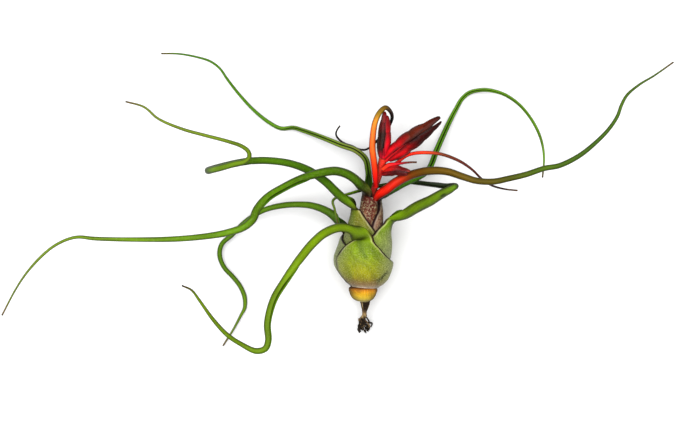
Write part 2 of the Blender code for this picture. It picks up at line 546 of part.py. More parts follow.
def floral_bract(name, stalk, foot, length, reach, side_degrees, finish, collection):
    """A boat-shaped bract that clasps its stalk, swells to its reach and narrows to a point."""
    along = np.concatenate(([0.0], np.cumsum(np.linalg.norm(np.diff(stalk[:, :3], axis=0), axis=1))))
    tangent_end = unit(stalk[-1, :3] - stalk[-2, :3])
    rings = []
    for share in FLORAL_SECTIONS:
        at = foot + share * length
        centre = np.array([np.interp(at, along, stalk[:, k]) for k in range(3)])
        centre += max(at - along[-1], 0.0) * tangent_end
        ahead = np.array([np.interp(at + 1, along, stalk[:, k]) for k in range(3)])
        behind = np.array([np.interp(at - 1, along, stalk[:, k]) for k in range(3)])
        tangent = unit(ahead - behind) if at < along[-1] else tangent_end
        right = unit(np.cross(tangent, (0.0, 0.0, 1.0)))
        up = np.cross(right, tangent)
        turn = math.radians(side_degrees)
        normal = math.cos(turn) * up + math.sin(turn) * right
        swell = math.sin(math.pi * (SWELL_START + SWELL_LENGTH * share)) ** SWELL_POWER
        back = FLORAL_BACK + (reach - FLORAL_BACK) * swell
        radius = max(FLORAL_CURVE * reach * swell, FLORAL_LEAST)
        half_angle = math.radians(FLORAL_ROLL - FLORAL_UNROLL * share)
        row = np.array((*(centre + back * normal), 1 / radius, half_angle * radius, 0.0, 0.0))
        wall = min(SHEATH_WALL, 0.9 * radius)
        ring = section(row, normal, np.cross(tangent, normal), BRACT_POINTS)
        inner = centre + (back - wall) * normal
        ring[BRACT_POINTS:] = np.where(radius > 1.5 * SHEATH_WALL, ring[BRACT_POINTS:],
                                       inner + THIN_SHARE * (ring[:BRACT_POINTS][::-1] - inner))
        rings.append(ring)
    return solid_object(name, np.vstack(rings), ring_faces(len(rings), BRACT_POINTS), finish, collection)


def spike(name, data):
    """A flower spike: its stalk with the floral bracts joined to it."""
    finish = material(name, data["colour"])
    stalk = np.array(data["stalk"])
    base = tube(name, stalk, STALK_SIDES, finish)
    others = bpy.data.collections.new(name + "_bracts")
    bpy.context.scene.collection.children.link(others)
    for i, (foot, length, reach, side) in enumerate(data["bracts"]):
        floral_bract(f"{name}_bract_{i}", stalk, foot, length, reach, side, finish, others)
    joined(base, others)


def stem():
    """The stub, the stem inside the bulb and the flower stalk, as one tapering solid."""
    inside = [(*bulb_centre(height), radius) for height, radius in STEM_IN_BULB]
    tube("stem", inside + STEM_PAST_NECK, STEM_SIDES, material("stem", STUB_YELLOW, 0.7))


def roots():
    """The crown and its wiry strands, joined in one body."""
    finish = material("roots", ROOT_BROWN, 0.8)
    crown = np.array(ROOT_CROWN)
    base = tube("roots", crown, STALK_SIDES, finish)
    others = bpy.data.collections.new("roots_strands")
    bpy.context.scene.collection.children.link(others)
    for i, end in enumerate(ROOT_ENDS):
        turn = 2 * math.pi * i / len(ROOT_ENDS)
        spread = np.array((math.cos(turn), 0.0, math.sin(turn)))
        foot = ROOT_FOOT + ROOT_FOOT_RADIUS * spread
        waist = ROOT_WAIST + ROOT_WAIST_RADIUS * spread
        bend = (waist + np.array(end)) / 2 + ROOT_CURL * np.roll(spread, 1)
        radii = np.array((ROOT_RADIUS, ROOT_RADIUS, ROOT_RADIUS, ROOT_TIP_RADIUS))
        rows = np.column_stack((np.vstack((foot, waist, bend, end)), radii))
        rows = smooth_rows(rows, [ROOT_STEPS // 3] * 3)
        tube(f"root_{i}", rows, ROOT_SIDES, finish, others)
    joined(base, others)


def clear_scene():
    """Start from an empty scene."""
    for found in list(bpy.data.objects):
        bpy.data.objects.remove(found)


def main():
    """Build every piece of the plant."""
    clear_scene()
    stem()
    roots()
    for name, data in LEAVES.items():
        leaf(name, data)
    for name, data in BRACTS.items():
        bract(name, data)
    for name, data in SPIKES.items():
        spike(name, data)


main()
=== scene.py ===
# %% [markdown]
# A flowering bulbosa air plant lies on a white surface and is seen from above. The real plant is a nest
# of leaves: each one starts as a thin shell clasped round a short stem, and the shells together make the
# bulb. Past the bulb each leaf rolls up into a long wiry blade. Every leaf here is therefore one surface
# on a grid, bent from a shell into a rolled blade along its own route. That keeps the sheath and the
# blade one piece, as they grow, where a sphere with tubes stuck on would show a seam at each joint.

# %% Load the measured solids
import math

import bpy
import numpy as np
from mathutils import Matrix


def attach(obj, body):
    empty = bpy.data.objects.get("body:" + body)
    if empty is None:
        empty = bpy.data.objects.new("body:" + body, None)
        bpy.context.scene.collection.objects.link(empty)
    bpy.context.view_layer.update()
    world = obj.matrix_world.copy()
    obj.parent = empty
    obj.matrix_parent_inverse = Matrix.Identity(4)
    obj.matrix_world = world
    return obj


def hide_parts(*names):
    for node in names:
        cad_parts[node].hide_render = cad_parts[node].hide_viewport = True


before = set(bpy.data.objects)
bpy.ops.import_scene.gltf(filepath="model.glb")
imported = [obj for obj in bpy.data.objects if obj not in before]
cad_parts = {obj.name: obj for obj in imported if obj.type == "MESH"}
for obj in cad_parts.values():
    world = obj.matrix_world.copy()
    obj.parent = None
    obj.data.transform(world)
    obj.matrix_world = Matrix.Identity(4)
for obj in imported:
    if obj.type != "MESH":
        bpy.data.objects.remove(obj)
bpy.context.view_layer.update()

MM = 0.001

# %% [markdown]
# The camera looks straight down from 0.6 m, which is the view in the photo. A long lens keeps the high
# blades from swelling. The surface is a plain pale sheet, and the light is one very large soft lamp
# overhead with a pale surround, so thin blades high above the sheet cast almost no shadow, while the
# bulb and the low leaves leave a soft one.

# %% Camera, surface and light
CAMERA_AT = (-8.695 * MM, 18.13 * MM, 604 * MM)
LENS = 85.0
SENSOR = 36.0
NEAR_CLIP = 0.01
FLOOR_HALF = 1.5
FLOOR_WHITE = (0.95, 0.95, 0.95, 1.0)
FLOOR_ROUGHNESS = 0.9
LAMP_AT = (-0.15, 0.12, 0.95)
LAMP_SIZE = 1.1
LAMP_WATTS = 13.0
SURROUND = 0.5

scene = bpy.context.scene
scene.view_settings.view_transform = "Standard"
camera = bpy.data.objects.new("camera", bpy.data.cameras.new("camera"))
camera.data.lens = LENS
camera.data.sensor_width = SENSOR
camera.data.clip_start = NEAR_CLIP
camera.location = CAMERA_AT
scene.collection.objects.link(camera)
scene.camera = camera


def plain_shader(name, colour, roughness):
    """A material with one colour, and its shader node."""
    made = bpy.data.materials.new(name)
    made.use_nodes = True
    shader = made.node_tree.nodes["Principled BSDF"]
    shader.inputs["Base Color"].default_value = colour
    shader.inputs["Roughness"].default_value = roughness
    return made, shader


floor_mesh = bpy.data.meshes.new("surface")
corners = [(-FLOOR_HALF, -FLOOR_HALF, 0), (FLOOR_HALF, -FLOOR_HALF, 0), (FLOOR_HALF, FLOOR_HALF, 0),
           (-FLOOR_HALF, FLOOR_HALF, 0)]
floor_mesh.from_pydata(corners, [], [(0, 1, 2, 3)])
floor_mesh.materials.append(plain_shader("white_surface", FLOOR_WHITE, FLOOR_ROUGHNESS)[0])
floor = bpy.data.objects.new("surface", floor_mesh)
scene.collection.objects.link(floor)

lamp = bpy.data.objects.new("soft_lamp", bpy.data.lights.new("soft_lamp", "AREA"))
lamp.data.size = LAMP_SIZE
lamp.data.energy = LAMP_WATTS
lamp.location = LAMP_AT
scene.collection.objects.link(lamp)

world = bpy.data.worlds.new("surround")
world.use_nodes = True
world.node_tree.nodes["Background"].inputs["Color"].default_value = (1, 1, 1, 1)
world.node_tree.nodes["Background"].inputs["Strength"].default_value = SURROUND
scene.world = world
print("camera:", CAMERA_AT, "lamp:", LAMP_AT)

# %% [markdown]
# The bulb leans a little to the right and rises a little toward the camera, so it has an axis of its own.
# Its sheaths are given as heights on that axis and angles round it. Where it is widest, the bulb bulges to
# the left, and a bell curve adds that.

# %% The bulb's axis
BULB_FOOT = np.array((-0.2, -13.0, 9.65))
BULB_LEAN = math.radians(4.9)
BULB_RISE = math.radians(5.0)
BULGE = 1.4
BULGE_HEIGHT = 13.5
BULGE_SPREAD = 6.0
AXIS = np.array((math.sin(BULB_LEAN) * math.cos(BULB_RISE), math.cos(BULB_LEAN) * math.cos(BULB_RISE),
                 math.sin(BULB_RISE)))
RIGHT = np.array((math.cos(BULB_LEAN), -math.sin(BULB_LEAN), 0.0))
UP = np.cross(RIGHT, AXIS)


def outward(degrees):
    """The direction from the bulb's axis at an angle: cos times up plus sin times right."""
    turn = math.radians(degrees)
    return math.cos(turn) * UP + math.sin(turn) * RIGHT


def bulb_centre(height):
    """The bulb's middle at a height: the axis, less a bell curve to the left where the bulb is widest."""
    bell = math.exp(-(((height - BULGE_HEIGHT) / BULGE_SPREAD) ** 2))
    return BULB_FOOT + AXIS * height - BULGE * bell * RIGHT


print("bulb's middle at its widest, mm:", bulb_centre(BULGE_HEIGHT).round(1))

# %% [markdown]
# Each leaf follows a path: first up its own sheath on the bulb, then along a route of given points. A
# smooth curve goes through those points, and along it the cross-section changes from a wide thin arc, the
# sheath, to a nearly closed roll with a channel, the blade. The section planes are carried along the path
# with the least turning, so that a blade doesn't twist where nothing asks it to.

# %% Curves, and directions carried along them
def unit(vectors):
    """Each row scaled to length 1."""
    return vectors / np.linalg.norm(vectors, axis=-1, keepdims=True)


def smooth_path(rows, spacing, straight_from=None):
    """Rows about a spacing apart on a smooth curve, and the place of each given row among them.

    Between two rows the curve is a cubic that has, at each row, the slope of the parabola through that
    row and its neighbours. Columns from straight_from on are blended in straight lines instead.
    """
    rows = np.asarray(rows, float)
    gaps = np.sqrt(np.linalg.norm(np.diff(rows[:, :3], axis=0), axis=1))
    at = np.concatenate(([0.0], np.cumsum(gaps)))
    slope = np.gradient(rows, at, axis=0)
    steps = np.maximum((gaps**2 / spacing).astype(int), 2)
    cells = np.repeat(np.arange(len(gaps)), steps)
    first = np.concatenate(([0], np.cumsum(steps)))
    u = ((np.arange(first[-1]) - first[cells]) / steps[cells])[:, None]
    gap = gaps[cells][:, None]
    curve = ((2 * u**3 - 3 * u**2 + 1) * rows[cells] + (u**3 - 2 * u**2 + u) * gap * slope[cells]
             + (3 * u**2 - 2 * u**3) * rows[cells + 1] + (u**3 - u**2) * gap * slope[cells + 1])
    if straight_from is not None:
        curve[:, straight_from:] = ((1 - u) * rows[cells] + u * rows[cells + 1])[:, straight_from:]
    return np.vstack((curve, rows[-1:])), first


def carried_normals(points, first):
    """Unit tangents, and the first normal carried along the path with the least turning."""
    tangents = unit(np.gradient(points, axis=0))
    normals = [unit(first - tangents[0] * (first @ tangents[0]))]
    for tangent in tangents[1:]:
        carried = normals[-1] - tangent * (normals[-1] @ tangent)
        normals.append(carried / np.linalg.norm(carried))
    return tangents, np.array(normals)


def distance_along(points):
    """How far each point lies along its path."""
    return np.concatenate(([0.0], np.cumsum(np.linalg.norm(np.diff(points, axis=0), axis=1))))


# %% [markdown]
# Colours are picked as screen levels and turned into light values. On a leaf they are worked out at each
# point of its grid from two numbers, how far along the leaf it lies and how far across, and stored on
# the mesh as a colour attribute. The material then adds what is finer than the grid: veins, pale scales
# and gloss.

# %% Colour helpers
CLOUD_WAVES = 6
CLOUD_PITCH = 3
CLOUD_FINER = 1.5
CLOUD_WEAKER = 1.5
CLOUD_PHASE = 6.3
CLOUD_REACH = 1.7


def light(levels):
    """Screen levels from 0 to 255 as linear light, by the usual curve of screens."""
    share = np.asarray(levels, float) / 255
    return np.where(share <= 0.04045, share / 12.92, ((share + 0.055) / 1.055) ** 2.4)


def ramp(at, stops):
    """Colours at places on a list of (place, levels) stops, blended in screen levels."""
    places = [place for place, _ in stops]
    levels = np.array([colour for _, colour in stops], float)
    return np.stack([np.interp(at, places, levels[:, k]) for k in range(3)], -1)


def soft_step(low, high, values):
    """0 below low, 1 above high, and a smooth rise between."""
    share = np.clip((values - low) / (high - low), 0, 1)
    return share * share * (3 - 2 * share)


def toward(levels, colour, share):
    """Levels moved a share of the way to one colour."""
    share = np.asarray(share)[..., None]
    return levels * (1 - share) + np.asarray(colour, float) * share


def cloudy(a, b, seed):
    """Slow cloudy variation, about -1 to 1, over two coordinates.

    It is a sum of sine waves in seeded directions, each finer and weaker than the one before.
    """
    dice = np.random.default_rng(seed)
    total = np.zeros(np.broadcast(a, b).shape)
    for k in range(CLOUD_WAVES):
        pitch = CLOUD_FINER**k
        slant = dice.uniform(-1, 1, 2)
        wave = pitch * (slant[0] * a + slant[1] * b) * CLOUD_PITCH + dice.uniform(0, CLOUD_PHASE)
        total += np.sin(wave) / (k + CLOUD_WEAKER)
    return total / CLOUD_REACH


print("level 128 as light:", light(128).round(3))

# %% [markdown]
# A grid of points becomes a closed mesh: rings joined by quads, and each end closed. The same function
# serves leaves, bracts, stem and roots. It checks by the enclosed volume that the faces look outward. A
# leaf's rings are folded, with as many points on the inner face as on the back, so quads from one to the
# other close its ends, where one polygon over such a thin bent ring could be filled wrongly.

# %% Grids into meshes
SMOOTH_ANGLE = math.radians(50)


def grid_faces(rings, size, folded):
    """Quads between the rings of a grid, and quads or one polygon over each end."""
    start = (np.arange(rings - 1) * size)[:, None]
    here = np.arange(size)[None, :]
    ahead = (here + 1) % size
    quads = np.stack((start + here, start + ahead, start + size + ahead, start + size + here), -1)
    faces = quads.reshape(-1, 4).tolist()
    last = (rings - 1) * size
    if folded:
        for j in range(size // 2 - 1):
            faces.append([j, j + 1, size - 2 - j, size - 1 - j])
            faces.append([last + j, last + size - 1 - j, last + size - 2 - j, last + j + 1])
    else:
        faces.append(list(range(size)))
        faces.append([last + j for j in reversed(range(size))])
    return faces


def enclosed(points, faces):
    """Six times the signed volume of the tetrahedra that the quads' halves make with the origin."""
    quads = np.array([face for face in faces if len(face) == 4])
    a, b, c, d = (points[quads[:, k]] for k in range(4))
    return np.einsum("ij,ij->", a, np.cross(b, c)) + np.einsum("ij,ij->", a, np.cross(c, d))


def shell(grid, folded=False):
    """A grid of rings as a list of points and outward faces."""
    points = grid.reshape(-1, 3)
    faces = grid_faces(grid.shape[0], grid.shape[1], folded)
    if enclosed(points - points.mean(0), faces) < 0:
        faces = [face[::-1] for face in faces]
    return points, faces


def merged(parts):
    """Several (points, faces, levels, uv) shells as one set."""
    points, faces, levels, flat = [], [], [], []
    start = 0
    for some_points, some_faces, some_levels, some_flat in parts:
        points.append(some_points)
        faces.extend([[start + k for k in face] for face in some_faces])
        levels.append(some_levels)
        flat.append(some_flat)
        start += len(some_points)
    return np.vstack(points), faces, np.vstack(levels), np.vstack(flat)


# %% [markdown]
# Light from overhead leaves the sides of a rolled leaf much darker than its top, in the photo more so than
# under a plain white surround. So each point's colour is darkened by how steeply its surface leans, and
# lifted a little on top. Thick pale scales scatter the light, so they even this out.

# %% Shade on the sides, and one finished piece
SIDE_SHADE = 0.68
SHADED_RISE = (0.86, 0.2)
TOP_GLOW = 0.16
GLOWING_RISE = (0.8, 1.0)
DUST_EVENS = 0.75
LEVEL_SHARE = 0.95
PLAIN_DUST = 0.3


def side_shade(mesh, dust):
    """What each point's levels are multiplied by, from the rise of its normal.

    It is a fixed share of this: 1, plus the glow as the rise nears 1, less the side shade as it falls.
    Dust evens both out.
    """
    normals = np.empty(3 * len(mesh.vertices), np.float32)
    mesh.vertices.foreach_get("normal", normals)
    rise = normals.reshape(-1, 3)[:, 2]
    change = TOP_GLOW * soft_step(*GLOWING_RISE, rise) - SIDE_SHADE * soft_step(*SHADED_RISE, rise)
    return LEVEL_SHARE * (1 + (1 - DUST_EVENS * dust) * change)


def make_piece(name, points, faces, levels, flat, finish, slot, nodes):
    """One finished piece: its mesh in metres, its colours, its flat coordinates and its place.

    The colours are levels of red, green and blue, and a fourth column, when there is one, says how
    thickly the surface is dusted, from 0 to 1.
    """
    mesh = bpy.data.meshes.new(name)
    mesh.from_pydata((points * MM).tolist(), [], faces)
    dust = levels[:, 3] if levels.shape[1] == 4 else np.full(len(points), PLAIN_DUST)
    shaded = np.clip(levels[:, :3] * side_shade(mesh, dust)[:, None], 0, 255)
    tint = mesh.attributes.new("tint", "FLOAT_COLOR", "POINT")
    tint.data.foreach_set("color", np.column_stack((light(shaded), dust)).astype(np.float32).ravel())
    corners = np.empty(len(mesh.loops), np.int32)
    mesh.loops.foreach_get("vertex_index", corners)
    layer = mesh.uv_layers.new(name="flat")
    layer.data.foreach_set("uv", flat[corners].astype(np.float32).ravel())
    mesh.shade_smooth()
    mesh.set_sharp_from_angle(angle=SMOOTH_ANGLE)
    mesh.materials.append(finish)
    piece = bpy.data.objects.new(name, mesh)
    scene.collection.objects.link(piece)
    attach(piece, "root")
    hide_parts(*nodes)
    print(f"{name}: {len(points)} points, {sum(len(face) - 2 for face in faces)} triangles")


# %% [markdown]
# The surface of a live leaf has three things a flat colour lacks: fine lengthwise veins, a dusting of
# pale scales that drink water for the plant, and a faint sheen. The veins are noise stretched along the
# leaf in its own flat coordinates, so they follow every curl. The scales are pale and dark specks of finer
# noise with a grain of small round cells over them. How thickly they lie is stored with the tint, so they
# are dense on the sheaths and thin on the blades. Veins and specks also raise the surface a little.

# %% Shader helpers
def add(tree, kind, **settings):
    """A shader node with some of its properties set."""
    node = tree.nodes.new(kind)
    for key, value in settings.items():
        setattr(node, key, value)
    return node


def texture(tree, kind, place, **numbers):
    """A texture read at a place, with numbers on its own sockets."""
    node = tree.nodes.new(kind)
    for key, number in numbers.items():
        node.inputs[key].default_value = number
    tree.links.new(place, node.inputs["Vector"])
    return node


def ranged(tree, value, from_min, from_max, to_min, to_max):
    """A value moved from one range to another, and kept inside it."""
    node = tree.nodes.new("ShaderNodeMapRange")
    for key, number in (("From Min", from_min), ("From Max", from_max), ("To Min", to_min),
                        ("To Max", to_max)):
        node.inputs[key].default_value = number
    tree.links.new(value, node.inputs["Value"])
    return node.outputs["Result"]


def combined(tree, operation, first, second):
    """Two values through one operation, such as their product or sum."""
    node = add(tree, "ShaderNodeMath", operation=operation)
    tree.links.new(first, node.inputs[0])
    tree.links.new(second, node.inputs[1])
    return node.outputs["Value"]


def blended(tree, base, colour, share):
    """A base with a share of one colour mixed in."""
    node = add(tree, "ShaderNodeMix", data_type="RGBA")
    tree.links.new(share, node.inputs["Factor"])
    tree.links.new(base, node.inputs["A"])
    node.inputs["B"].default_value = (*colour, 1)
    return node.outputs["Result"]


# %% [markdown]
# One recipe serves every piece of the plant, with its own numbers: how dusty, how veined and how glossy it
# is, how fine its veins and specks are, and what colours the specks have. The neck's are tan on maroon, a
# bract has hardly any, and the dry stem and the roots are dull and fibrous.

# %% Finishes of the plant's pieces
SHEEN = {"Specular IOR Level": 0.06, "Coat Weight": 0.03, "Coat Roughness": 0.22}
VEIN_STRETCH = 0.08
VEIN_RANGE = (0.3, 0.7)
DARK_RANGE = (0.48, 0.34)
PALE_RANGE = (0.5, 0.64)
GRAIN_RANGE = (0.4, 0.1)
GRAIN_SHARE = 0.5
CELLS_PER_SPECK = 3.0
BUMP_STRENGTH = 0.4
BUMP_DEPTH = 0.1 * MM


def veined_tint(tree, tint, flat, veins, pitch):
    """The tint made darker and lighter along stretched noise, and that noise."""
    stretched = add(tree, "ShaderNodeMapping")
    stretched.inputs["Scale"].default_value = (VEIN_STRETCH, pitch, 1)
    tree.links.new(flat, stretched.inputs["Vector"])
    noise = texture(tree, "ShaderNodeTexNoise", stretched.outputs["Vector"], Scale=1.0, Detail=3.0)
    veined = add(tree, "ShaderNodeVectorMath", operation="SCALE")
    tree.links.new(tint.outputs["Color"], veined.inputs[0])
    scale = ranged(tree, noise.outputs["Fac"], *VEIN_RANGE, 1 - veins, 1 + veins)
    tree.links.new(scale, veined.inputs["Scale"])
    return veined.outputs["Vector"], noise.outputs["Fac"]


def plant_finish(name, dust, veins, gloss, vein_pitch=2.2, speck_pitch=2.4,
                 pale=(0.42, 0.45, 0.17), dark=(0.03, 0.05, 0.0)):
    """A material: the mesh's tint, veins along it, dark and pale specks and a pale grain, and a bump."""
    made, shader = plain_shader(name, (1, 1, 1, 1), gloss)
    for key, number in SHEEN.items():
        shader.inputs[key].default_value = number
    tree = made.node_tree
    tint = add(tree, "ShaderNodeAttribute", attribute_name="tint")
    flat = add(tree, "ShaderNodeUVMap", uv_map="flat").outputs["UV"]
    thickness = tint.outputs["Alpha"]
    colour, vein = veined_tint(tree, tint, flat, veins, vein_pitch)
    specks = texture(tree, "ShaderNodeTexNoise", flat, Scale=speck_pitch, Detail=4.0, Roughness=0.7)
    cells = texture(tree, "ShaderNodeTexVoronoi", flat, Scale=CELLS_PER_SPECK * speck_pitch)
    layers = ((specks.outputs["Fac"], DARK_RANGE, dust, dark),
              (specks.outputs["Fac"], PALE_RANGE, dust, pale),
              (cells.outputs["Distance"], GRAIN_RANGE, GRAIN_SHARE * dust, pale))
    for value, limits, most, speck in layers:
        share = combined(tree, "MULTIPLY", ranged(tree, value, *limits, 0, most), thickness)
        colour = blended(tree, colour, speck, share)
    tree.links.new(colour, shader.inputs["Base Color"])
    raised = combined(tree, "MULTIPLY", specks.outputs["Fac"], thickness)
    bump = add(tree, "ShaderNodeBump")
    bump.inputs["Strength"].default_value = BUMP_STRENGTH
    bump.inputs["Distance"].default_value = BUMP_DEPTH
    tree.links.new(combined(tree, "ADD", raised, vein), bump.inputs["Height"])
    tree.links.new(bump.outputs["Normal"], shader.inputs["Normal"])
    return made


SHEATH_FINISH = plant_finish("scaly_leaf", dust=0.8, veins=0.15, gloss=0.42, speck_pitch=1.9)
NECK_FINISH = plant_finish("mottled_neck_leaf", dust=0.9, veins=0.3, gloss=0.42, speck_pitch=1.05,
                           pale=(0.42, 0.36, 0.2), dark=(0.05, 0.012, 0.01))
BLADE_FINISH = plant_finish("smooth_leaf", dust=0.3, veins=0.2, gloss=0.34)
BRACT_FINISH = plant_finish("glossy_bract", dust=0.1, veins=0.25, gloss=0.24, vein_pitch=3.0,
                            pale=(0.9, 0.5, 0.4), dark=(0.1, 0.0, 0.0))
print("finishes:", [made.name for made in (SHEATH_FINISH, NECK_FINISH, BLADE_FINISH, BRACT_FINISH)])

# %% [markdown]
# One leaf is a grid whose rings are cross-sections. A ring goes over the back of the leaf from its left
# margin to its right one, and back over the inner face. On the sheath the back is a wide arc round the
# bulb and the inner face runs just inside it, thinner at the margins. Along the blade the arc tightens
# until the leaf is nearly a tube, with a channel where the inner face was.

# %% Cross-sections
SHEATH_WALL = 0.7
MARGIN_THINNING = 0.45
BLADE_WALL = 1.4
BLADE_SHARE = 1.25
LIP_SHARE = 0.25
LIP_MOST = 0.35
ROLL_NARROW = 163.0
ROLL_BROAD = 110.0
ROLL_FALL = 22.0
OPEN_WIDTH = 2.6
ACROSS_POINTS = 33
ACROSS = np.linspace(-1, 1, ACROSS_POINTS)[None, :]


def sheath_rows(sheath, shift):
    """Sheath sections as rows: place, curvature, half arc, solid share, turn share and back direction.

    A section bends round the bulb's axis, or more tightly where a fifth value gives its own radius.
    """
    rows = []
    for height, radius, left, right, *curl in sheath:
        back = outward((left + right) / 2)
        place = bulb_centre(height) + shift[0] * outward(shift[1]) + radius * back
        bend = curl[0] if curl else radius
        rows.append((*place, 1 / bend, radius * math.radians(right - left) / 2, 0, 0, *back))
    return rows


def blade_rows(route, back):
    """Route points as rows like a sheath's: the roll is half its width in radius."""
    rows = []
    for x, y, z, width in route:
        roll = math.radians(max(ROLL_NARROW - ROLL_FALL * max(width - OPEN_WIDTH, 0.0), ROLL_BROAD))
        rows.append((x, y, z, 2 / width, roll * width / 2, 1, 1, *back))
    return rows


def section_grid(rows, normals, sides, relief):
    """Rings of points, from rows and the two directions of each section plane.

    Back: an arc of the row's radius. Inner face: an arc inside it by the wall in a sheath, and in a
    blade a parabola from lip to lip that dips to the channel's bottom, mixed by the row's solid share.
    """
    radius = 1 / rows[:, 3:4]
    half_angle = rows[:, 4:5] * rows[:, 3:4]
    solid = np.clip(rows[:, 5:6], 0, 1)
    cos, sin = np.cos(half_angle * ACROSS), np.sin(half_angle * ACROSS)
    lip = radius - np.minimum(LIP_SHARE * radius, LIP_MOST)
    bottom = radius - np.minimum(BLADE_SHARE * radius, BLADE_WALL)
    lip_height = lip * np.cos(half_angle)
    wall = SHEATH_WALL * (1 - MARGIN_THINNING * ACROSS**6)
    inner_deep = (1 - solid) * (radius - wall) * cos + solid * (
        lip_height + (bottom - lip_height) * (1 - ACROSS**2))
    inner_side = (1 - solid) * (radius - wall) * sin + solid * lip * np.sin(half_angle) * ACROSS
    deep = np.hstack(((radius + relief) * cos, inner_deep[:, ::-1]))
    side = np.hstack(((radius + relief) * sin, inner_side[:, ::-1]))
    centre = rows[:, :3] - (1 - solid) * radius * normals
    return centre[:, None] + deep[..., None] * normals[:, None] + side[..., None] * sides[:, None]


# %% [markdown]
# A leaf twists as it goes: near the bulb its back faces out, and further on its channel may face the
# camera. So a leaf can name places along its blade and the way its back faces there. Turning the sections
# smoothly from one such place to the next needs fewer numbers than a roll for every route point would.

# %% Which way a leaf faces
def facing_roll(along, tangents, normals, faced):
    """How far to roll each section so that, at each (place, angle) given, the back faces that angle.

    The angle is turned round the blade from straight up, so 0 is a back that faces the camera and 180 a
    channel that does. Between the given places the roll changes smoothly, from none at the sheath's tip.
    """
    ups = unit(np.array((0, 0, 1.0)) - tangents * tangents[:, 2:])
    sides = np.cross(tangents, ups)
    places, rolls = [0.0], [0.0]
    for place, angle in faced:
        k = min(np.searchsorted(along, place), len(along) - 1)
        now = math.degrees(math.atan2(normals[k] @ sides[k], normals[k] @ ups[k]))
        change = (angle - now - rolls[-1] + 180) % 360 - 180
        places.append(place)
        rolls.append(rolls[-1] + change)
    places, rolls = np.array(places), np.array(rolls)
    cell = np.clip(np.searchsorted(places, along, side="right") - 1, 0, len(places) - 2)
    share = soft_step(0, 1, (along - places[cell]) / (places[cell + 1] - places[cell]))
    return np.radians(rolls[cell] + share * (rolls[cell + 1] - rolls[cell]))


# %% [markdown]
# Over the sheath's tip the section planes swing round from standing across the bulb to standing across
# the blade, and the shell rolls up over the next centimetre, which gives the funnel shape that real leaves
# have there. Fine ribs and a slow swell keep the surface from looking turned on a lathe, and where a blade
# touches the ground it is pressed flat.

# %% The grid of one leaf
LEAF_SPACING = 0.7
STRAIGHT_COLUMNS = 3
ROLL_TO = 10.0
TURN_FROM = -3.0
TURN_TO = 4.5
RIB_HEIGHT = 0.025
RIB_PITCH = 34
RIB_FULL_ARC = 6
SWELL_HEIGHT = 0.10
SWELL_LENGTH = 9
SWELL_RADIUS = 8
PRESSED_BELOW = 0.12


def leaf_rows(sheath, shift, route):
    """A leaf's rows, how far each lies past the sheath's tip, and the tip's place among them.

    Past the tip the curvature, half arc and solid share go smoothly from the tip's own to the blade's.
    """
    first_rows = sheath_rows(sheath, shift)
    all_rows = first_rows + blade_rows(route, first_rows[-1][7:])
    rows, places = smooth_path(all_rows, LEAF_SPACING, STRAIGHT_COLUMNS)
    tip, first_blade = places[len(sheath) - 1], places[len(sheath)]
    along = distance_along(rows[:, :3])
    along -= along[tip]
    rolled_up = soft_step(0, ROLL_TO, along[tip:])[:, None]
    rows[tip:first_blade, 3:6] = rows[first_blade, 3:6]
    rows[tip:, 3:6] = (1 - rolled_up) * first_rows[-1][3:6] + rolled_up * rows[tip:, 3:6]
    rows[:, 6:7] = soft_step(TURN_FROM, TURN_TO, along)[:, None]
    return rows, along, tip


def leaf_directions(rows, along, tip, faced):
    """Where the back of each section faces, and the direction to its side."""
    backs = unit(rows[:, 7:10])
    tangents = unit(np.gradient(rows[:, :3], axis=0))
    normals = backs.copy()
    _, normals[tip:] = carried_normals(rows[tip:, :3], backs[tip])
    turn = rows[:, 6:7]
    planes = unit((1 - turn) * AXIS + turn * tangents)
    sides = unit(np.cross(planes, (1 - turn) * backs + turn * normals))
    normals = np.cross(sides, planes)
    roll = facing_roll(along, tangents, normals, faced)[:, None]
    return np.cos(roll) * normals + np.sin(roll) * sides, np.cos(roll) * sides - np.sin(roll) * normals


def leaf_grid(sheath, shift, route, faced):
    """The grid of one leaf, how far each ring lies past the sheath's tip, and its rows.

    Fine ribs run along the back, a slow swell roughens the broad sheath, and what lies lowest is flat.
    """
    rows, along, tip = leaf_rows(sheath, shift, route)
    normals, sides = leaf_directions(rows, along, tip, faced)
    spread = rows[:, 4:5]
    ribs = RIB_HEIGHT * np.cos(ACROSS * RIB_PITCH) * np.minimum(1, spread / RIB_FULL_ARC)
    swell = SWELL_HEIGHT * cloudy(along[:, None] / SWELL_LENGTH, ACROSS * spread / SWELL_LENGTH, len(route))
    relief = ribs + swell * np.clip(1 / rows[:, 3:4] / SWELL_RADIUS, 0, 1)
    grid = section_grid(rows, normals, sides, relief)
    grid[grid[..., 2] < PRESSED_BELOW, 2] = 0.0
    return grid, along, rows


# %% [markdown]
# Colour along a leaf is a short list of stops, in millimetres past the tip of its sheath: minus on the
# bulb, plus on the blade. Cloudy variation keeps any two stretches from being alike, and the sides of the
# bulb are grey with scales. Smudges, patches and creases are marks, each painted along a short line.

# %% Colour on the back of a leaf
BULB_HALF = 11.6
BROAD_CLOUDS = (6, 4, 0.10)
FINE_CLOUDS = (1.6, 1.2, 0.16)
FINE_SEED = 100
GREY_SIDE = (0.30, 0.85)
GREY_SHARE = 0.62
MARKS_ABOVE = 9


def near_line(points, line, width):
    """1 on a line of x, y points and falling to 0 beside it, as a bell of the given width."""
    line = np.array(line, float)
    place = points[..., :2]
    least = np.full(place.shape[:-1], np.inf)
    for start, end in zip(line[:-1], line[1:]):
        run = end - start
        share = np.clip(((place - start) @ run) / (run @ run), 0, 1)
        least = np.minimum(least, np.linalg.norm(place - start - share[..., None] * run, axis=-1))
    return np.exp(-(least / width) ** 2)


